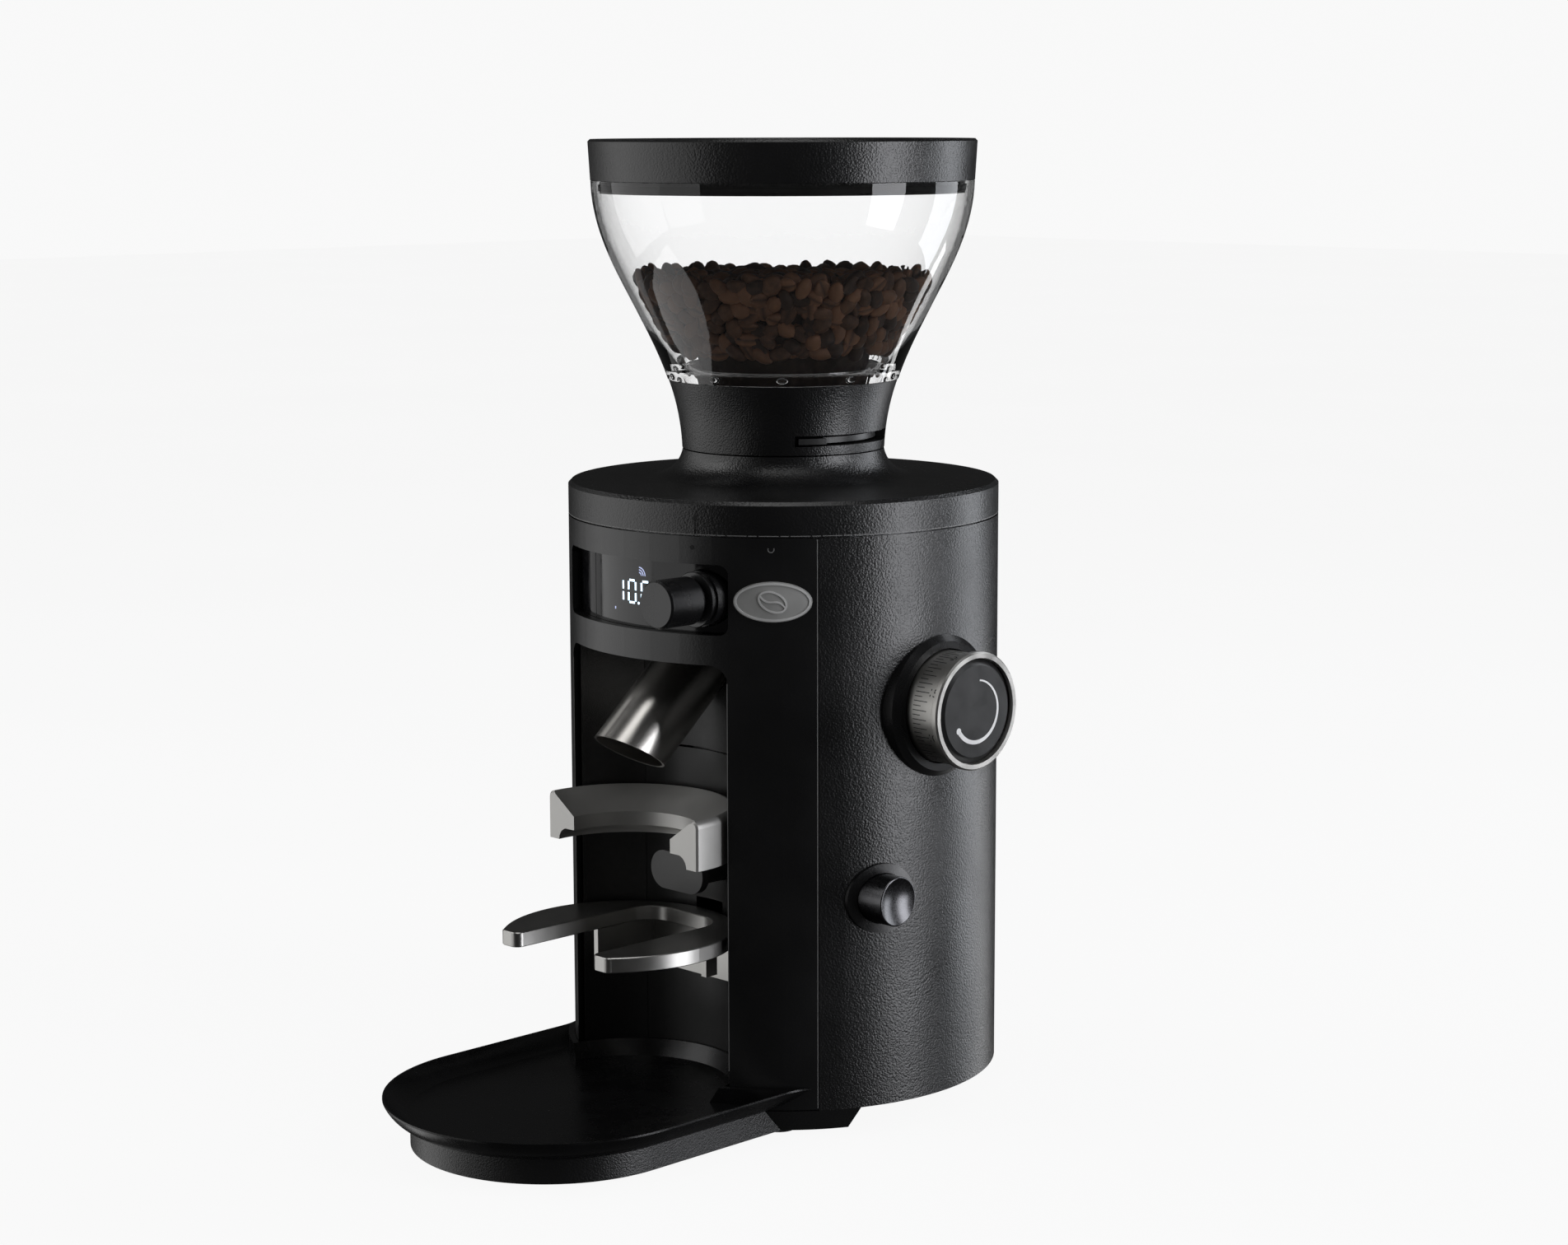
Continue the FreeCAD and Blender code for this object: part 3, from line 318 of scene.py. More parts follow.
def brushed_metal(name, colour, roughness, stretch, depth=0.004 * MM, origin=(0, 0, 0)):
    """Metal brushed along the axis with the smallest stretch."""
    metal = Finish(name, colour, roughness, metallic=1.0)
    lines = metal.noise(1.0, detail=4.0, roughness=0.65, place=metal.stretched(stretch, origin))
    stains = metal.noise(14 * MM, detail=5.0)
    wear_and_highlight = metal.combine("MULTIPLY", metal.between(lines, 0.2, 0.8, 0.75, 1.3),
                         metal.between(stains, 0.3, 0.7, roughness * 0.85, roughness * 1.15))
    return metal.use(Base_Color=metal.shade(lines, scaled(colour, 0.80), colour), Roughness=wear_and_highlight,
                     Normal=metal.relief(lines, depth))


def blasted_metal(name, colour, roughness, grain=0.25 * MM, depth=0.008 * MM, cloud=1.0, metallic=1.0):
    """Bead-blasted or cast metal with an even fine grain and a share of cloudiness."""
    metal = Finish(name, colour, roughness, metallic=metallic)
    grainy = metal.noise(grain, detail=3.0)
    cloudy = metal.noise(11 * MM, detail=2.0, roughness=0.5)
    tint = metal.shade(metal.between(cloudy, 0.3, 0.7, 0.0, 1.0), scaled(colour, 1 - 0.15 * cloud), colour)
    wear_and_highlight = metal.between(cloudy, 0.3, 0.7, roughness * (1 - 0.15 * cloud), roughness * (1 + 0.2 * cloud))
    return metal.use(Base_Color=tint, Normal=metal.relief(grainy, depth), Roughness=wear_and_highlight)


# Pieces

def as_mesh(name, shape):
    """A mesh made from a bmesh, which is freed."""
    mesh = bpy.data.meshes.new(name)
    shape.to_mesh(mesh)
    shape.free()
    return mesh


def finish_piece(name, shape, body, material, sharp=35.0):
    """Put a finished mesh or bmesh in the scene, riding on its body."""
    mesh = as_mesh(name, shape) if isinstance(shape, bmesh.types.BMesh) else shape
    mesh.name = name
    mesh.materials.clear()
    mesh.materials.append(material)
    mesh.polygons.foreach_set("use_smooth", [True] * len(mesh.polygons))
    mesh.set_sharp_from_angle(angle=math.radians(sharp))
    piece = bpy.data.objects.new(name, mesh)
    bpy.context.scene.collection.objects.link(piece)
    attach(piece, body)
    return piece


def thicken(shape, thickness):
    """Turn flat faces that look along +Z into closed plates of this thickness."""
    faces = shape.faces[:]
    for face in faces:
        if face.normal.z < 0:
            face.normal_flip()
    grown = bmesh.ops.extrude_face_region(shape, geom=faces, use_keep_orig=True)
    raised = [item for item in grown["geom"] if isinstance(item, bmesh.types.BMVert)]
    bmesh.ops.translate(shape, verts=raised, vec=UP * thickness)
    bmesh.ops.recalc_face_normals(shape, faces=shape.faces)


def wrap_upright(shape, radius, turn, z):
    """Bend a flat drawing round the body: x goes round, y goes up and z goes outwards."""
    for vert in shape.verts:
        angle = turn + vert.co.x / radius
        out = radius + vert.co.z
        vert.co = Vector((out * math.sin(angle), -out * math.cos(angle), z + vert.co.y))


def wrap_dial(shape, radius, angle, x):
    """Bend a flat drawing round the dial: x goes along its axis and y goes round it."""
    for vert in shape.verts:
        turned = angle + vert.co.y / radius
        out = radius + vert.co.z
        vert.co = Vector((x + vert.co.x, DIAL_AXIS.y - out * math.cos(turned),
                          DIAL_AXIS.z + out * math.sin(turned)))


def raise_on_body(name, shape, height, radius, turn, z, body, material):
    """Give a flat drawing a height, bend it round the body and finish it."""
    thicken(shape, height)
    wrap_upright(shape, radius, turn, z)
    return finish_piece(name, shape, body, material)


def disc(shape, radius, segments):
    """Add a flat disc, or a flat triangle or other regular shape."""
    return bmesh.ops.create_circle(shape, cap_ends=True, segments=segments, radius=radius)["verts"]


def rectangle(shape, wide, tall, centre=(0, 0), columns=1, rows=1):
    """Add a flat rectangle, cut into columns and rows so that it can bend."""
    place = Matrix.Translation((*centre, 0)) @ Matrix.Diagonal((wide, tall, 1, 1))
    bmesh.ops.create_grid(shape, x_segments=columns, y_segments=rows, size=0.5, matrix=place)


def bar(shape, centre, length, width, upright=False):
    """Add a flat bar with pointed ends, as one lit segment."""
    for vert in disc(shape, 1.0, segments=6):
        is_tip = abs(vert.co.x) > 0.9
        along = vert.co.x * length / 2 if is_tip else math.copysign(length / 2 - width / 2, vert.co.x)
        across = math.copysign(width / 2, vert.co.y) if abs(vert.co.y) > 0.1 else 0.0
        vert.co = Vector((across, along, 0)) if upright else Vector((along, across, 0))
        vert.co += Vector((*centre, 0))


def arc_band(shape, centre, radius, width, start, sweep, steps=24):
    """Add a flat band along an arc; width is a number, or a function of the share of the sweep."""
    breadth = width if callable(width) else lambda share: width
    earlier = set(shape.verts)
    ends = [shape.verts.new((radius, 0, 0)), shape.verts.new((radius + MM, 0, 0))]
    bmesh.ops.spin(shape, geom=ends + [shape.edges.new(ends)], cent=(0, 0, 0), axis=UP, angle=sweep,
                   steps=steps, use_merge=False)
    verts = [vert for vert in shape.verts if vert not in earlier]
    for vert in verts:
        angle = math.atan2(vert.co.y, vert.co.x)
        turned = angle % math.tau if sweep > 0 else -(-angle % math.tau)
        share = min(max(turned / sweep, 0.0), 1.0) if abs(turned) < abs(sweep) + 0.05 else 0.0
        side = 0.5 if math.hypot(vert.co.x, vert.co.y) > radius + MM / 2 else -0.5
        out = radius + side * breadth(share)
        vert.co = Vector((centre[0] + out * math.cos(start + angle),
                          centre[1] + out * math.sin(start + angle), 0))
    return verts


def oval_band(shape, half_width, half_height, width):
    """Add a flat closed band along an oval, with its outer edge on the oval."""
    guide = 10 * MM
    verts = arc_band(shape, (0, 0), guide, 2 * MM, 0.0, math.tau, steps=72)
    for vert in verts:
        inset = 0.0 if math.hypot(vert.co.x, vert.co.y) > guide else width
        angle = math.atan2(vert.co.y, vert.co.x)
        vert.co = Vector(((half_width - inset) * math.cos(angle),
                          (half_height - inset) * math.sin(angle), 0))
    return verts


def spun_profile(points, steps=96):
    """A closed shape of revolution about Z from (radius, z) points that start and end on the axis."""
    shape = bmesh.new()
    verts = [shape.verts.new((radius, 0, z)) for radius, z in points]
    edges = [shape.edges.new(pair) for pair in zip(verts, verts[1:])]
    bmesh.ops.spin(shape, geom=verts + edges, cent=(0, 0, 0), axis=UP, angle=math.tau, steps=steps,
                   use_merge=True)
    bmesh.ops.remove_doubles(shape, verts=shape.verts, dist=SAME_PLACE)
    bmesh.ops.recalc_face_normals(shape, faces=shape.faces)
    return shape


def text_shape(words, height):
    """Upright letters as flat faces, centred on the origin, read along x."""
    size_to_height = 1.4
    curve = bpy.data.curves.new("letters", "FONT")
    curve.body = words
    curve.size = height * size_to_height
    curve.align_x = "CENTER"
    curve.align_y = "CENTER"
    curve.resolution_u = 3
    holder = bpy.data.objects.new("letters", curve)
    bpy.context.scene.collection.objects.link(holder)
    bpy.context.view_layer.update()
    mesh = bpy.data.meshes.new_from_object(holder)
    shape = bmesh.new()
    shape.from_mesh(mesh)
    bpy.data.objects.remove(holder)
    bpy.data.curves.remove(curve)
    bpy.data.meshes.remove(mesh)
    bmesh.ops.remove_doubles(shape, verts=shape.verts, dist=SAME_PLACE)
    return shape


def joined(shapes):
    """One bmesh from several, which are freed."""
    whole = bmesh.new()
    for shape in shapes:
        mesh = as_mesh("part", shape)
        whole.from_mesh(mesh)
        bpy.data.meshes.remove(mesh)
    return whole


# Casing

class GRINDER_OT_casing(bpy.types.Operator):
    """Coat the housing, the covers, the lid and the base, and set the small marks on the panel"""
    bl_idname = "grinder.casing"
    bl_label = "Casing"

    mark_z = 254.3 * MM
    pointer_z = 266.6 * MM
    line_width = 0.32 * MM
    niche_foot = 30 * MM
    niche_corner = 10 * MM

    def execute(self, context):
        casing = context.scene.grinder_casing
        coat, grain, depth = casing.coat_colour, casing.grain, casing.grain_depth
        powder_coat("powder_black", coat, grain, depth).cover("body_housing", "top_cover", "hopper_lid")
        powder_coat("panel_black", coat, grain, depth * 0.2).cover("front_panel")
        powder_coat("neck_black", coat, grain * 0.8, depth).cover("hopper_neck")
        powder_coat("niche_black", casing.niche_colour, grain * 0.7, depth * 0.7, 0.42).cover("niche_liner")
        moulded_plastic("insert_grey", (0.010, 0.010, 0.010), 0.36).cover("back_insert", "shutter_disc")
        powder_coat("base_grey", (0.006, 0.006, 0.0062), grain * 0.8, depth * 0.8, 0.36).cover(
            "base_plate", "front_foot", "rear_foot", "tray_support")
        self.marks()
        self.edges()
        return {"FINISHED"}

    def marks(self):
        """A dot and an open ring on the panel, and a pointer on the cover above them."""
        ink = moulded_plastic("mark_dark", (0.001, 0.001, 0.001), 0.7).material
        pale = moulded_plastic("mark_pale", (0.11, 0.11, 0.11), 0.5).material
        dot = bmesh.new()
        disc(dot, 0.95 * MM, segments=24)
        raise_on_body("lock_dot", dot, MARK, BODY_R, math.radians(21.8), self.mark_z,
                      "root", ink)
        ring = bmesh.new()
        arc_band(ring, (0, 0), 1.25 * MM, 0.42 * MM, math.radians(155), math.radians(230))
        raise_on_body("lock_ring", ring, MARK, BODY_R, math.radians(42.3), self.mark_z,
                      "root", pale)
        pointer = bmesh.new()
        disc(pointer, 1.5 * MM, segments=3)
        rectangle(pointer, 0.5 * MM, 3.4 * MM, centre=(0, -2.9 * MM))
        raise_on_body("cover_pointer", pointer, MARK, BODY_R, math.radians(22.7), self.pointer_z,
                      "cover", ink)

    def edges(self):
        """Thin pale lines along the panel's sides, the niche's sides and the cover's lower edge: painted
        highlights where these edges catch the light.
        """
        # Pale colour: a painted highlight along the edges, standing in for light caught by the rounded edges.
        wear_and_highlight = moulded_plastic("edge_highlight", (0.16, 0.16, 0.158), 0.5).material
        low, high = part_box("front_panel")
        panel_side = math.asin(high.x / BODY_R) - 0.35 * MM / BODY_R
        niche_side = math.asin(half_size("niche_liner").x / BODY_R)
        niche_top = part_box("niche_liner")[1].z - self.niche_corner
        runs = ((panel_side, (low.z + high.z) / 2, high.z - low.z - MM),
                (niche_side, (self.niche_foot + niche_top) / 2, niche_top - self.niche_foot))
        shapes = [self.line(side * turn, z, self.line_width, tall)
                  for turn, z, tall in runs for side in (-1, 1)]
        finish_piece("panel_edges", joined(shapes), "root", wear_and_highlight)
        # The cover's lower edge gets the same painted highlight.
        cover_edge_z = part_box("top_cover")[0].z + 0.3 * MM
        rim = self.line(0.0, cover_edge_z, BODY_R * math.radians(358), 0.3 * MM, columns=180)
        finish_piece("cover_edge", rim, "cover", wear_and_highlight)

    def line(self, turn, z, wide, tall, columns=1):
        """A thin plate bent round the body, sunk so that it barely stands out."""
        shape = bmesh.new()
        rectangle(shape, wide, tall, columns=columns)
        thicken(shape, FILM)
        wrap_upright(shape, BODY_R - 0.9 * FILM, turn, z)
        return shape


# Metalwork

class GRINDER_OT_metalwork(bpy.types.Operator):
    """Finish the chute, the portafilter ring and the fork"""
    bl_idname = "grinder.metalwork"
    bl_label = "Metalwork"

    def execute(self, context):
        blasted_metal("chute_steel", (0.62, 0.60, 0.57), 0.25, depth=0.0008 * MM, cloud=0.35).cover("chute")
        blasted_metal("ring_steel", (0.47, 0.465, 0.45), 0.42, cloud=0.3, metallic=0.72).cover(
            "portafilter_ring")
        blasted_metal("fork_steel", (0.43, 0.425, 0.41), 0.31, cloud=0.3).cover("portafilter_fork")
        return {"FINISHED"}


# Controls

class GRINDER_OT_controls(bpy.types.Operator):
    """Finish the knob, the trigger paddle, the power button and the dial's collar"""
    bl_idname = "grinder.controls"
    bl_label = "Controls"

    def execute(self, context):
        moulded_plastic("control_black", (0.0055, 0.0055, 0.0058), 0.26).cover(
            "control_knob", "knob_base_ring", "dial_collar", "power_button_collar", "display_frame")
        moulded_plastic("paddle_grey", (0.030, 0.030, 0.030), 0.38).cover("trigger_paddle")
        brushed_metal("button_chrome", (0.11, 0.11, 0.115), 0.26, (400, 900, 900),
                      origin=middle("power_button")).cover("power_button")
        return {"FINISHED"}


# Display

class GRINDER_OT_display(bpy.types.Operator):
    """Finish the display's glass and light its digits and signs"""
    bl_idname = "grinder.display"
    bl_label = "Display"

    bars = {"0": "abcdef", "1": "bc"}
    digit_gap = 2.6 * MM
    bar_gap = 0.25 * MM

    def execute(self, context):
        display = context.scene.grinder_display
        self.glass()
        lit = self.glow("display_light", display.light, 3.0)
        z = middle("display_glass").z
        pitch = display.digit_width + self.digit_gap
        shapes = [self.digit(display, digit, (place - 1) * pitch, z) for place, digit in enumerate("100")]
        point = bmesh.new()
        disc(point, display.stroke * 0.6, segments=12)
        thicken(point, FILM)
        wrap_upright(point, GLASS_R, pitch / 2 / GLASS_R, z - display.digit_height / 2 + display.stroke / 2)
        finish_piece("display_digits", joined(shapes + [point]), "root", lit)
        self.signs(z)
        return {"FINISHED"}

    def glass(self):
        """Dark glass with faint smudges and a slight wave."""
        glass = Finish("display_black", (0.004, 0.004, 0.0045), 0.08)
        smudges = glass.noise(9 * MM, detail=6.0, roughness=0.6)
        wave = glass.relief(glass.noise(30 * MM, detail=1.0), 0.02 * MM)
        tint = glass.shade(glass.between(smudges, 0.35, 0.7, 0.0, 1.0),
                           (0.003, 0.003, 0.0035), (0.007, 0.007, 0.0075))
        glass.use(Base_Color=tint, Roughness=glass.between(smudges, 0.3, 0.7, 0.05, 0.16), Normal=wave)
        glass.cover("display_glass")

    def glow(self, name, colour, strength):
        """A faintly uneven emitting film."""
        film = Finish(name, (0.02, 0.02, 0.02), 0.4)
        even = film.between(film.noise(1.2 * MM), 0.3, 0.7, strength * 0.8, strength * 1.1)
        return film.use(Emission_Color=(*colour, 1.0), Emission_Strength=even).material

    def digit(self, display, digit, x, z):
        """One seven-bar digit, bent round the glass."""
        shape = bmesh.new()
        width = display.digit_width - display.stroke
        height = display.digit_height - display.stroke
        level = {"a": height / 2, "g": 0.0, "d": -height / 2}
        upright = {"f": (-1, 1), "b": (1, 1), "e": (-1, -1), "c": (1, -1)}
        for key in self.bars[digit]:
            if key in level:
                bar(shape, (0, level[key]), width - self.bar_gap, display.stroke)
            else:
                side, half = upright[key]
                bar(shape, (side * width / 2, half * height / 4), height / 2 - self.bar_gap,
                    display.stroke, upright=True)
        thicken(shape, FILM)
        wrap_upright(shape, GLASS_R, x / GLASS_R, z)
        return shape

    def signs(self, z):
        """The radio sign above the digits, a small mark below them and the glass's joint."""
        dim = self.glow("display_sign_light", (0.55, 0.62, 0.95), 0.9)
        sign = bmesh.new()
        for radius in (1.3, 2.4, 3.5):
            arc_band(sign, (0, 0), radius * MM, 0.5 * MM, 0.0, math.radians(90), steps=10)
        raise_on_body("display_radio_sign", sign, FILM, GLASS_R, 4.4 * MM / GLASS_R, z + 7.2 * MM,
                      "root", dim)
        mark = bmesh.new()
        bar(mark, (0, 0), 1.9 * MM, 0.8 * MM, upright=True)
        raise_on_body("display_dose_sign", mark, FILM, GLASS_R, -11.5 * MM / GLASS_R, z - 8.2 * MM,
                      "root", dim)
        joint = bmesh.new()
        rectangle(joint, 0.45 * MM, 29.0 * MM, rows=12)
        joint_black = moulded_plastic("display_joint_black", (0.001, 0.001, 0.001), 0.6).material
        raise_on_body("display_joint", joint, 0.08 * MM, GLASS_R, math.radians(-18.4), z,
                      "root", joint_black)


# Grind dial

class GRINDER_OT_dial(bpy.types.Operator):
    """Brush the grind dial's sleeve, engrave its scale and print the sign on its cap"""
    bl_idname = "grinder.dial"
    bl_label = "Grind dial"

    sleeve_r = 24.0 * MM
    tick_x = 101.2 * MM
    number_gap = 2.0 * MM
    ink_height = 0.04 * MM

    def execute(self, context):
        dial = context.scene.grinder_dial
        brushed_metal("dial_steel", (0.58, 0.57, 0.545), 0.36, (5200, 90, 90), depth=0.003 * MM,
                      origin=DIAL_AXIS).cover("dial_sleeve")
        moulded_plastic("cap_black", (0.010, 0.010, 0.010), 0.34).cover("dial_cap")
        ink = moulded_plastic("scale_black", (0.008, 0.008, 0.008), 0.55).material
        ticks = []
        for half in range(2 * dial.last_number + 1):
            length = dial.half_tick if half % 2 else dial.whole_tick
            tick = bmesh.new()
            rectangle(tick, length, dial.tick_width, centre=(length / 2, 0))
            ticks.append(self.engraved(tick, dial, half / 2, self.tick_x))
        finish_piece("dial_ticks", joined(ticks), "grind_dial", ink)
        number_x = self.tick_x + dial.whole_tick + self.number_gap
        numbers = [self.engraved(text_shape(str(number), dial.number_height), dial, number, number_x)
                   for number in range(0, dial.last_number + 1, 5)]
        finish_piece("dial_numbers", joined(numbers), "grind_dial", ink)
        self.cap_sign()
        return {"FINISHED"}

    def engraved(self, shape, dial, number, x):
        """Bend a flat drawing round the sleeve at a number's place."""
        thicken(shape, self.ink_height)
        wrap_dial(shape, self.sleeve_r, self.angle(dial, number), x)
        return shape

    @staticmethod
    def angle(dial, number):
        """How far above the front of the dial a number stands."""
        return (number - dial.rest_number) * dial.step_angle + dial.rest_angle

    def cap_sign(self):
        """An arc that thickens clockwise and ends in a dot, raised on the cap."""
        white = moulded_plastic("sign_white", (0.72, 0.72, 0.72), 0.45).material
        radius = 13.2 * MM
        dot_angle = math.radians(-147)
        sign = bmesh.new()
        arc_band(sign, (0, 0), radius, lambda share: (0.7 + 1.3 * share) * MM,
                 math.radians(82), math.radians(-224), steps=48)
        bmesh.ops.translate(sign, verts=disc(sign, 1.4 * MM, segments=20),
                            vec=Vector((math.cos(dot_angle), math.sin(dot_angle), 0)) * radius)
        thicken(sign, MARK)
        face_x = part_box("dial_cap")[1].x
        outward = Matrix(((0, 0, 1, face_x), (1, 0, 0, DIAL_AXIS.y), (0, 1, 0, DIAL_AXIS.z), (0, 0, 0, 1)))
        bmesh.ops.transform(sign, matrix=outward, verts=sign.verts)
        finish_piece("dial_cap_sign", sign, "grind_dial", white)


# Badge

class GRINDER_OT_badge(bpy.types.Operator):
    """Finish the oval badge and raise its rim and its coffee bean"""
    bl_idname = "grinder.badge"
    bl_label = "Badge"

    def execute(self, context):
        badge = context.scene.grinder_badge
        blasted_metal("badge_metal", (0.40, 0.40, 0.39), 0.5, metallic=0.25).cover("badge")
        bright = blasted_metal("badge_line_metal", (0.75, 0.75, 0.74), 0.4, depth=0.004 * MM, metallic=0.3)
        centre = middle("badge")
        outer_r = max(vert.co.xy.length for vert in NODES["badge"].data.vertices)
        shape = bmesh.new()
        oval_band(shape, 16.1 * MM, 8.1 * MM, badge.rim)
        self.bean(shape)
        bmesh.ops.remove_doubles(shape, verts=shape.verts, dist=SAME_PLACE)
        raise_on_body("badge_relief", shape, badge.relief, outer_r, math.atan2(centre.x, -centre.y), centre.z,
                      "root", bright.material)
        return {"FINISHED"}

    def bean(self, shape):
        """An upright bean with a waving crease, drawn with raised lines."""
        verts = oval_band(shape, 6.4 * MM, 4.3 * MM, 0.75 * MM)
        crease = bmesh.ops.create_grid(shape, x_segments=16, y_segments=1, size=0.5)["verts"]
        for vert in crease:
            wave = 0.9 * MM * math.sin(vert.co.x * math.tau)
            vert.co = Vector((vert.co.x * 11.4 * MM, wave + vert.co.y * 0.7 * MM, 0))
        lean = Matrix.Rotation(math.radians(-24), 4, "Z")
        bmesh.ops.transform(shape, matrix=lean, verts=verts + crease)


# Hopper

class GRINDER_OT_hopper(bpy.types.Operator):
    """Make the hopper's clear plastic and the small lugs at its foot"""
    bl_idname = "grinder.hopper"
    bl_label = "Hopper"

    lugs = 10
    first_lug = math.radians(9)
    foot_r = 48.0 * MM
    lug_height = 2.6 * MM

    def execute(self, context):
        clear = Finish("hopper_clear", (0.997, 0.998, 0.999), 0.0)
        ripple = clear.relief(clear.noise(26 * MM, detail=2.0), 0.03 * MM)
        dust = clear.noise(3 * MM, detail=6.0, roughness=0.7)
        clear.use(Transmission_Weight=1.0, IOR=1.49, Normal=ripple,
                  Roughness=clear.between(dust, 0.55, 0.8, 0.0, 0.05))
        clear.cover("hopper_bowl")
        size = Matrix.Diagonal((2.6 * MM, 1.2 * MM, 1.7 * MM, 1))
        place = Matrix.Translation((0, -self.foot_r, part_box("hopper_bowl")[0].z + self.lug_height))
        shapes = []
        for number in range(self.lugs):
            lug = bmesh.new()
            bmesh.ops.create_uvsphere(lug, u_segments=10, v_segments=6, radius=1.0)
            turned = Matrix.Rotation(math.tau * number / self.lugs + self.first_lug, 4, "Z")
            bmesh.ops.transform(lug, matrix=turned @ place @ size, verts=lug.verts)
            shapes.append(lug)
        finish_piece("hopper_lugs", joined(shapes), "hopper", clear.material)
        return {"FINISHED"}


# Beans

class GRINDER_OT_beans(bpy.types.Operator):
    """Fill the hopper with loose coffee beans"""
    bl_idname = "grinder.beans"
    bl_label = "Beans"

    # Places in millimetres: the wall's radius at each height, the heap's height at each radius, and
    # the radius and height of each point round the core
    wall = ((318.6, 44.5), (324.0, 47.6), (335.6, 54.2), (357.3, 65.2), (362.0, 67.3))
    surface = ((0.0, 364.5), (40.0, 363.5), (60.0, 361.0), (67.0, 359.0))
    core = ((0, 301.2), (22.5, 301.2), (36.5, 318.0), (38.5, 326.2), (47.5, 335.6), (58.0, 355.5),
            (34.0, 359.0), (0, 360.0))
    lowest, highest = 329.0, 360.5
    top_radius = 58.5
    wall_gap, top_gap = 3.8, 2.4
    lengths_and_widths = ((1.0, 1.0), (1.08, 0.9), (0.92, 1.1))
    tones = 5
    crease_depth = 0.30
    wall_tries, top_tries = 14000, 9000
    unevenness = 0.9
    tilt = 0.2
    back_to_front = 0.36

    def execute(self, context):
        beans = context.scene.grinder_beans
        self.draw = random.Random(beans.seed)
        roast = self.roast(beans)
        self.templates = [self.bean(beans, longer, wider, tone / (self.tones - 1))
                          for longer, wider in self.lengths_and_widths for tone in range(self.tones)]
        core = spun_profile([(radius * MM, z * MM) for radius, z in self.core])
        pieces = [finish_piece("beans_core", core, "hopper", self.core_finish(beans))]
        for name, places, spacing, depth in (("beans_wall", self.on_wall, 5.0, 0.0),
                                             ("beans_behind", self.on_wall, 5.6, 4.2),
                                             ("beans_top", self.on_top, 5.6, 0.0),
                                             ("beans_under_top", self.on_top, 6.2, 4.0)):
            pieces.append(self.scatter(name, places(spacing * MM, depth), roast))
        for piece in pieces:
            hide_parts("coffee_beans")
        for template in self.templates:
            bpy.data.meshes.remove(template)
        return {"FINISHED"}

    def roast(self, beans):
        """Roasted bean skin: a tone for each bean, blotches, fine wrinkles and painted shade in the crease.
        """
        skin = Finish("beans", beans.dark_colour, 0.45)
        tone = skin.add("ShaderNodeAttribute", attribute_name="tone").outputs["Fac"]
        crease = skin.add("ShaderNodeAttribute", attribute_name="crease").outputs["Fac"]
        blotches = skin.noise(2.6 * MM, detail=5.0, roughness=0.6)
        level = skin.combine("ADD", tone, skin.between(blotches, 0.3, 0.7, -0.16, 0.16))
        body = skin.shade(skin.between(level, 0.0, 1.0, 0.0, 1.0), beans.dark_colour, beans.light_colour)
        # Painted shade: the crease is darkened towards the darkest roast.
        tint = skin.shade(skin.between(crease, 0.3, 1.0, 0.0, 0.75), body, beans.dark_colour)
        wrinkles = skin.relief(skin.noise(0.7 * MM, detail=4.0), 0.10 * MM)
        skin.use(Base_Color=tint, Normal=wrinkles, Roughness=skin.between(blotches, 0.3, 0.7, 0.36, 0.55))
        return skin.material

    def core_finish(self, beans):
        """Dark lumps that stand in for the inner beans, coloured darker than any bean as painted shade; seen
        only through the gaps between beans.
        """
        # Painted shade: the core is half as bright as the darkest roast, and darker still in patches, for the
        # shadow deep among the beans.
        dark = Finish("beans_core_shade", scaled(beans.dark_colour, 0.5), 0.8)
        lumps = dark.relief(dark.cells(6 * MM, feature="SMOOTH_F1"), 2 * MM)
        shade = dark.shade(dark.noise(4 * MM), scaled(beans.dark_colour, 0.3), beans.dark_colour)
        return dark.use(Base_Color=shade, Normal=lumps).material

    def bean(self, beans, longer, wider, tone):
        """One bean: round back, flat front and a crease along it."""
        flat_front = 0.62
        seed = bmesh.new()
        bmesh.ops.create_uvsphere(seed, u_segments=10, v_segments=7, radius=1.0)
        for axis in "YX":
            quarter = Matrix.Rotation(math.pi / 2, 3, axis)
            bmesh.ops.rotate(seed, verts=seed.verts, cent=(0, 0, 0), matrix=quarter)
        crease = seed.verts.layers.float.new("crease")
        tones = seed.verts.layers.float.new("tone")
        for vert in seed.verts:
            # The crease mask marks where painted shade darkens the bean.
            in_crease = abs(vert.co.y) < 0.05 and vert.co.z < -0.2 and abs(vert.co.x) < 0.97
            vert[crease] = 1.0 if in_crease else 0.0
            vert[tones] = tone
            if vert.co.z < 0:
                vert.co.z *= flat_front
            if in_crease:
                vert.co.z += self.crease_depth
        size = Matrix.Diagonal((beans.bean_length / 2 * longer, beans.bean_width / 2 * wider,
                                beans.bean_depth / (1 + flat_front), 1))
        bmesh.ops.transform(seed, matrix=size, verts=seed.verts)
        bmesh.ops.recalc_face_normals(seed, faces=seed.faces)
        return as_mesh("bean_template", seed)

    @staticmethod
    def read_off(points, place):
        """The value at a place on a line through points of rising places."""
        for (place0, value0), (place1, value1) in zip(points, points[1:]):
            if place <= place1:
                return value0 + (value1 - value0) * max(0.0, (place - place0) / (place1 - place0))
        return points[-1][1]

    def apart(self, tries, spacing, propose):
        """Throw points one after another, keeping those that are clear of the rest."""
        cells = {}
        kept = []
        for _ in range(tries):
            point, facing = propose()
            key = tuple(int(math.floor(value / spacing)) for value in point)
            near = [other for dx in (-1, 0, 1) for dy in (-1, 0, 1) for dz in (-1, 0, 1)
                    for other in cells.get((key[0] + dx, key[1] + dy, key[2] + dz), ())]
            if all((point - other).length >= spacing for other in near):
                cells.setdefault(key, []).append(point)
                kept.append((point, facing))
        return kept

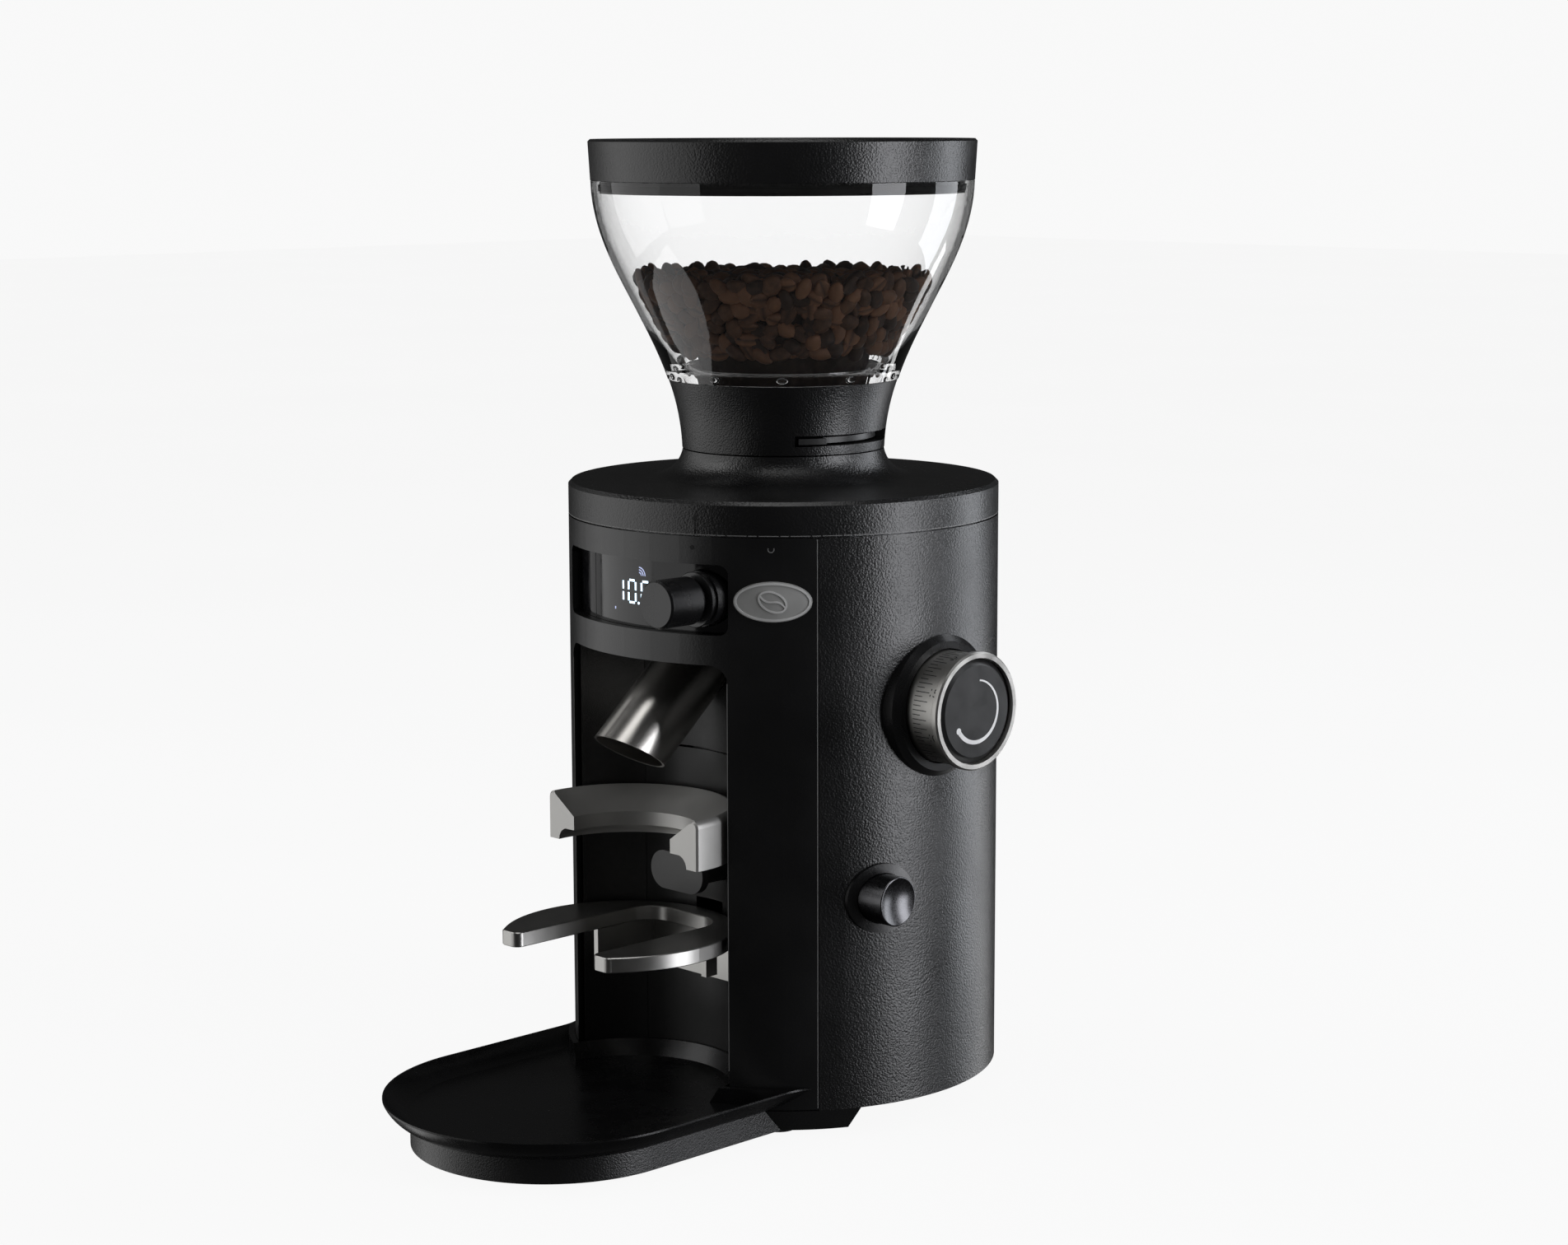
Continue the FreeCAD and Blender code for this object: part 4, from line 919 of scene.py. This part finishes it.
    def on_wall(self, spacing, depth):
        """Places against the bowl's wall, or deeper in."""
        def propose():
            turn = self.draw.uniform(0, math.tau)
            z = self.draw.uniform(self.lowest, self.highest)
            radius = self.read_off(self.wall, z)
            slope = self.read_off(self.wall, z + 1) - radius
            facing = Vector((math.cos(turn), math.sin(turn), -slope)).normalized()
            point = Vector((radius * math.cos(turn), radius * math.sin(turn), z)) * MM
            return point - facing * (self.wall_gap + depth) * MM, facing
        return self.apart(self.wall_tries, spacing, propose)

    def on_top(self, spacing, depth):
        """Places on the heap's uneven surface, or just under it."""
        def propose():
            turn = self.draw.uniform(0, math.tau)
            radius = (self.top_radius - 0.6 * depth) * math.sqrt(self.draw.random())
            z = self.read_off(self.surface, radius) - self.top_gap + self.draw.gauss(0, self.unevenness)
            facing = Vector((0.25 * math.cos(turn), 0.25 * math.sin(turn), 1)).normalized()
            point = Vector((radius * math.cos(turn), radius * math.sin(turn), z)) * MM
            return point - UP * depth * MM, facing
        return self.apart(self.top_tries, spacing, propose)

    def scatter(self, name, places, material):
        """Join one bean for each place into a piece."""
        holder = bpy.data.objects.new(name + "_holder", bpy.data.meshes.new(name))
        link = bpy.context.scene.collection.objects.link
        link(holder)
        parts = [holder]
        for point, facing in places:
            bean = bpy.data.objects.new("bean", self.draw.choice(self.templates))
            side = -1 if self.draw.random() < self.back_to_front else 1
            lean = Vector([self.draw.gauss(0, self.tilt) for _ in range(3)])
            axis = (facing * side + lean).normalized()
            turned = axis.to_track_quat("Z", "Y").to_matrix().to_4x4()
            spun = Matrix.Rotation(self.draw.uniform(0, math.tau), 4, "Z")
            size = Matrix.Scale(self.draw.uniform(0.88, 1.06), 4)
            bean.matrix_world = Matrix.Translation(point) @ turned @ spun @ size
            link(bean)
            parts.append(bean)
        bpy.context.view_layer.update()
        with bpy.context.temp_override(active_object=holder, object=holder, selected_objects=parts,
                                       selected_editable_objects=parts):
            bpy.ops.object.join()
        mesh = holder.data.copy()
        bpy.data.objects.remove(holder)
        return finish_piece(name, mesh, "hopper", material, sharp=75.0)


# Drip tray

class GRINDER_OT_tray(bpy.types.Operator):
    """Finish the drip tray and the rubber pads"""
    bl_idname = "grinder.tray"
    bl_label = "Drip tray"

    def execute(self, context):
        moulded_plastic("tray_black", (0.0024, 0.0024, 0.0026), 0.26, grain=0.5 * MM,
                        depth=0.015 * MM).cover("drip_tray")
        rubber = Finish("rubber", (0.012, 0.012, 0.012), 0.75)
        wear_and_highlight = rubber.noise(6 * MM, detail=5.0)
        rubber.use(Normal=rubber.relief(rubber.noise(0.3 * MM), 0.03 * MM),
                   Roughness=rubber.between(wear_and_highlight, 0.3, 0.7, 0.65, 0.85),
                   Base_Color=rubber.shade(wear_and_highlight, (0.008, 0.008, 0.008), (0.022, 0.021, 0.02)))
        rubber.cover("rubber_feet", "lid_seal")
        return {"FINISHED"}


# Inside

class GRINDER_OT_inside(bpy.types.Operator):
    """Finish the motor, the burrs, the boards and the fasteners"""
    bl_idname = "grinder.inside"
    bl_label = "Inside"

    def execute(self, context):
        blasted_metal("aluminium_cast", (0.55, 0.55, 0.56), 0.46, grain=0.6 * MM, depth=0.05 * MM).cover(
            "motor_plate", "grind_chamber", "bayonet_ring", "upper_burr_carrier", "lower_burr_carrier")
        brushed_metal("steel", (0.48, 0.48, 0.49), 0.30, (220, 220, 2600)).cover(
            "motor_shaft", "dial_shaft", "encoder_stem", "housing_screws", "lower_burr_screws",
            "frame_posts", "motor_bearings", "spindle_bearing")
        brushed_metal("burr_steel", (0.40, 0.40, 0.41), 0.24, (900, 900, 900)).cover(
            "upper_burr", "lower_burr")
        brushed_metal("gear_brass", (0.62, 0.43, 0.17), 0.28, (300, 300, 1900)).cover(
            "adjusting_ring", "dial_pinion")
        self.laminated_iron()
        self.circuit_board()
        moulded_plastic("moulding_black", (0.014, 0.014, 0.015), 0.5).cover(
            "encoder_body", "power_switch", "trigger_switch", "power_inlet", "cooling_fan", "bean_throat",
            "lift_sleeve")
        bare = sorted(set(NODES) - COVERED - {"coffee_beans"})
        if bare:
            raise RuntimeError("no finish on " + ", ".join(bare))
        return {"FINISHED"}

    def laminated_iron(self):
        """Stacked sheet iron for the stator and the rotor, and a painted can."""
        iron = Finish("motor_iron", (0.16, 0.16, 0.17), 0.42, metallic=1.0)
        sheets = iron.add("ShaderNodeTexWave", wave_type="BANDS", bands_direction="Z")
        iron.feed(sheets, Vector=iron.place, Scale=320.0, Distortion=0.3, Detail=2.0)
        rust = iron.noise(5 * MM, detail=5.0)
        iron.use(Normal=iron.relief(sheets.outputs["Fac"], 0.08 * MM),
                 Base_Color=iron.shade(rust, (0.10, 0.10, 0.105), (0.26, 0.25, 0.25)),
                 Roughness=iron.between(rust, 0.3, 0.7, 0.34, 0.52))
        iron.cover("motor_stator", "rotor_core", "motor_can")

    def circuit_board(self):
        """Green lacquer over copper tracks."""
        board = Finish("board_green", (0.01, 0.09, 0.04), 0.35)
        tracks = board.cells(3.2 * MM, feature="DISTANCE_TO_EDGE")
        lines = board.between(tracks, 0.04, 0.07, 1.0, 0.0)
        board.use(Base_Color=board.shade(lines, (0.008, 0.07, 0.03), (0.03, 0.16, 0.07)),
                  Normal=board.relief(lines, 0.03 * MM))
        board.cover("control_board", "power_board")


# Studio

class GRINDER_OT_studio(bpy.types.Operator):
    """Set the floor, the soft lights and the camera"""
    bl_idname = "grinder.studio"
    bl_label = "Studio"

    def execute(self, context):
        studio = context.scene.grinder_studio
        context.scene.view_settings.view_transform = "Standard"
        self.backdrop(context.scene, studio)
        self.floor(studio)
        self.softbox("left_panel", turn=-53, height=0.45, distance=1.6, wide=1.35, tall=1.9, glow=1.15)
        self.softbox("left_fill", turn=-17, height=0.45, distance=1.7, wide=0.85, tall=1.9, glow=0.85)
        self.softbox("left_edge", turn=-84, height=0.45, distance=1.6, wide=0.45, tall=1.9, glow=0.35)
        self.softbox("left_high", turn=-42, height=1.3, distance=1.25, wide=0.7, tall=0.5, glow=2.0)
        self.softbox("left_low", turn=-58, height=-0.6, distance=1.04, wide=0.9, tall=0.6, glow=1.2)
        self.softbox("right_strip", turn=110, height=0.45, distance=1.6, wide=0.66, tall=1.9, glow=5.4,
                     colour=(0.95, 0.96, 1.0))
        self.softbox("rim_strip", turn=159, height=0.45, distance=1.6, wide=0.72, tall=1.9, glow=3.0,
                     colour=(0.92, 0.95, 1.0))
        self.softbox("right_low", turn=178, height=-0.47, distance=1.26, wide=0.16, tall=0.9, glow=3.0)
        self.softbox("overhead", turn=45, height=1.7, distance=0.4, wide=0.9, tall=0.9, glow=1.6)
        self.camera(context.scene, studio)
        return {"FINISHED"}

    def seen_strength(self, tree, straight, through):
        """A strength for each kind of ray.

        Rays straight from the camera and through clear plastic have their own in each use. Rays off a
        surface, along the plastic's edge and from the beans inside it share theirs.
        """
        bounced, edge, inside = 0.03, 0.9, 0.11
        rays = tree.nodes.new("ShaderNodeLightPath")

        def switch(output, otherwise, value, after=0):
            node = tree.nodes.new("ShaderNodeMapRange")
            tree.links.new(rays.outputs[output], node.inputs["Value"])
            for socket, setting in (("From Min", after), ("From Max", after + 1),
                                    ("To Min", otherwise), ("To Max", value)):
                put(node.inputs[socket], setting)
            return node.outputs[0]

        clear = switch("Transmission Depth", straight, through)
        glossy = switch("Glossy Depth", clear, bounced)
        in_plastic = switch("Glossy Depth", glossy, switch("Transmission Depth", bounced, edge), after=1)
        return switch("Diffuse Depth", in_plastic, switch("Transmission Depth", bounced, inside))

    def backdrop(self, scene, studio):
        """A pale backdrop that is dim where gloss would mirror it."""
        world = bpy.data.worlds.new("studio")
        world.use_nodes = True
        scene.world = world
        tree = world.node_tree
        background = tree.nodes["Background"]
        background.inputs["Color"].default_value = (*studio.floor_colour, 1.0)
        strength = self.seen_strength(tree, straight=1.015, through=1.16)
        tree.links.new(strength, background.inputs["Strength"])

    def floor(self, studio):
        """A wide pale floor with a faint mottle, lit evenly from within."""
        shape = bmesh.new()
        bmesh.ops.create_grid(shape, x_segments=8, y_segments=8, size=8.0)
        bmesh.ops.translate(shape, verts=shape.verts, vec=(0, 0, -0.2 * MM))
        pale = Finish("floor_pale", (0.05, 0.05, 0.05), 0.9)
        mottle = pale.shade(pale.noise(0.4), scaled(studio.floor_colour, 0.985), studio.floor_colour)
        pale.use(Specular_IOR_Level=0.0, Emission_Color=mottle,
                 Emission_Strength=self.seen_strength(pale.tree, straight=1.0, through=1.15))
        mesh = as_mesh("floor", shape)
        mesh.materials.append(pale.material)
        floor = bpy.data.objects.new("floor", mesh)
        bpy.context.scene.collection.objects.link(floor)
        floor.visible_glossy = False
        floor.visible_shadow = False

    def softbox(self, name, turn, height, distance, wide, tall, glow, colour=(1.0, 1.0, 1.0)):
        """A soft light that faces the grinder from a turn about its axis."""
        lamp = bpy.data.lights.new(name, "AREA")
        lamp.shape = "RECTANGLE"
        lamp.size = wide
        lamp.size_y = tall
        lamp.energy = glow * math.pi * wide * tall
        lamp.color = colour
        light = bpy.data.objects.new(name, lamp)
        angle = math.radians(turn)
        light.location = (distance * math.sin(angle), -distance * math.cos(angle), height)
        aim = Vector((0, 0, 0.2)) - light.location
        light.rotation_euler = aim.to_track_quat("-Z", "Y").to_euler()
        light.visible_camera = False
        light.visible_transmission = False
        bpy.context.scene.collection.objects.link(light)

    def camera(self, scene, studio):
        """One camera, level with the lid and looking slightly down."""
        lens = bpy.data.cameras.new("camera")
        lens.lens = studio.lens
        lens.sensor_width = 36.0
        lens.sensor_fit = "HORIZONTAL"
        lens.clip_end = 50.0
        camera = bpy.data.objects.new("camera", lens)
        camera.location = studio.camera_place
        camera.rotation_euler = studio.camera_turn
        scene.collection.objects.link(camera)
        scene.camera = camera


# Panel and registration

class GRINDER_PT_panel(bpy.types.Panel):
    """Lists the steps that finish the grinder"""
    bl_idname = "GRINDER_PT_panel"
    bl_label = "Coffee grinder"
    bl_space_type = "VIEW_3D"
    bl_region_type = "UI"
    bl_category = "Grinder"

    def draw(self, context):
        for step in STEPS:
            self.layout.operator(step.bl_idname)
        for group in SETTINGS:
            values = getattr(context.scene, group)
            for key in values.bl_rna.properties.keys():
                if key not in ("rna_type", "name"):
                    self.layout.prop(values, key)


SETTINGS = {
    "grinder_casing": CasingSettings,
    "grinder_display": DisplaySettings,
    "grinder_dial": DialSettings,
    "grinder_badge": BadgeSettings,
    "grinder_beans": BeanSettings,
    "grinder_studio": StudioSettings,
}
STEPS = (GRINDER_OT_casing, GRINDER_OT_metalwork, GRINDER_OT_controls, GRINDER_OT_display, GRINDER_OT_dial,
         GRINDER_OT_badge, GRINDER_OT_hopper, GRINDER_OT_beans, GRINDER_OT_tray, GRINDER_OT_inside,
         GRINDER_OT_studio)


def register():
    for name, group in SETTINGS.items():
        bpy.utils.register_class(group)
        setattr(bpy.types.Scene, name, PointerProperty(type=group))
    for item in (*STEPS, GRINDER_PT_panel):
        bpy.utils.register_class(item)


def unregister():
    for item in (GRINDER_PT_panel, *reversed(STEPS)):
        bpy.utils.unregister_class(item)
    for name, group in SETTINGS.items():
        delattr(bpy.types.Scene, name)
        bpy.utils.unregister_class(group)


def main():
    """Run every step in order."""
    register()
    bpy.ops.grinder.casing()
    bpy.ops.grinder.metalwork()
    bpy.ops.grinder.controls()
    bpy.ops.grinder.display()
    bpy.ops.grinder.dial()
    bpy.ops.grinder.badge()
    bpy.ops.grinder.hopper()
    bpy.ops.grinder.beans()
    bpy.ops.grinder.tray()
    bpy.ops.grinder.inside()
    bpy.ops.grinder.studio()


if __name__ == "__main__":
    main()
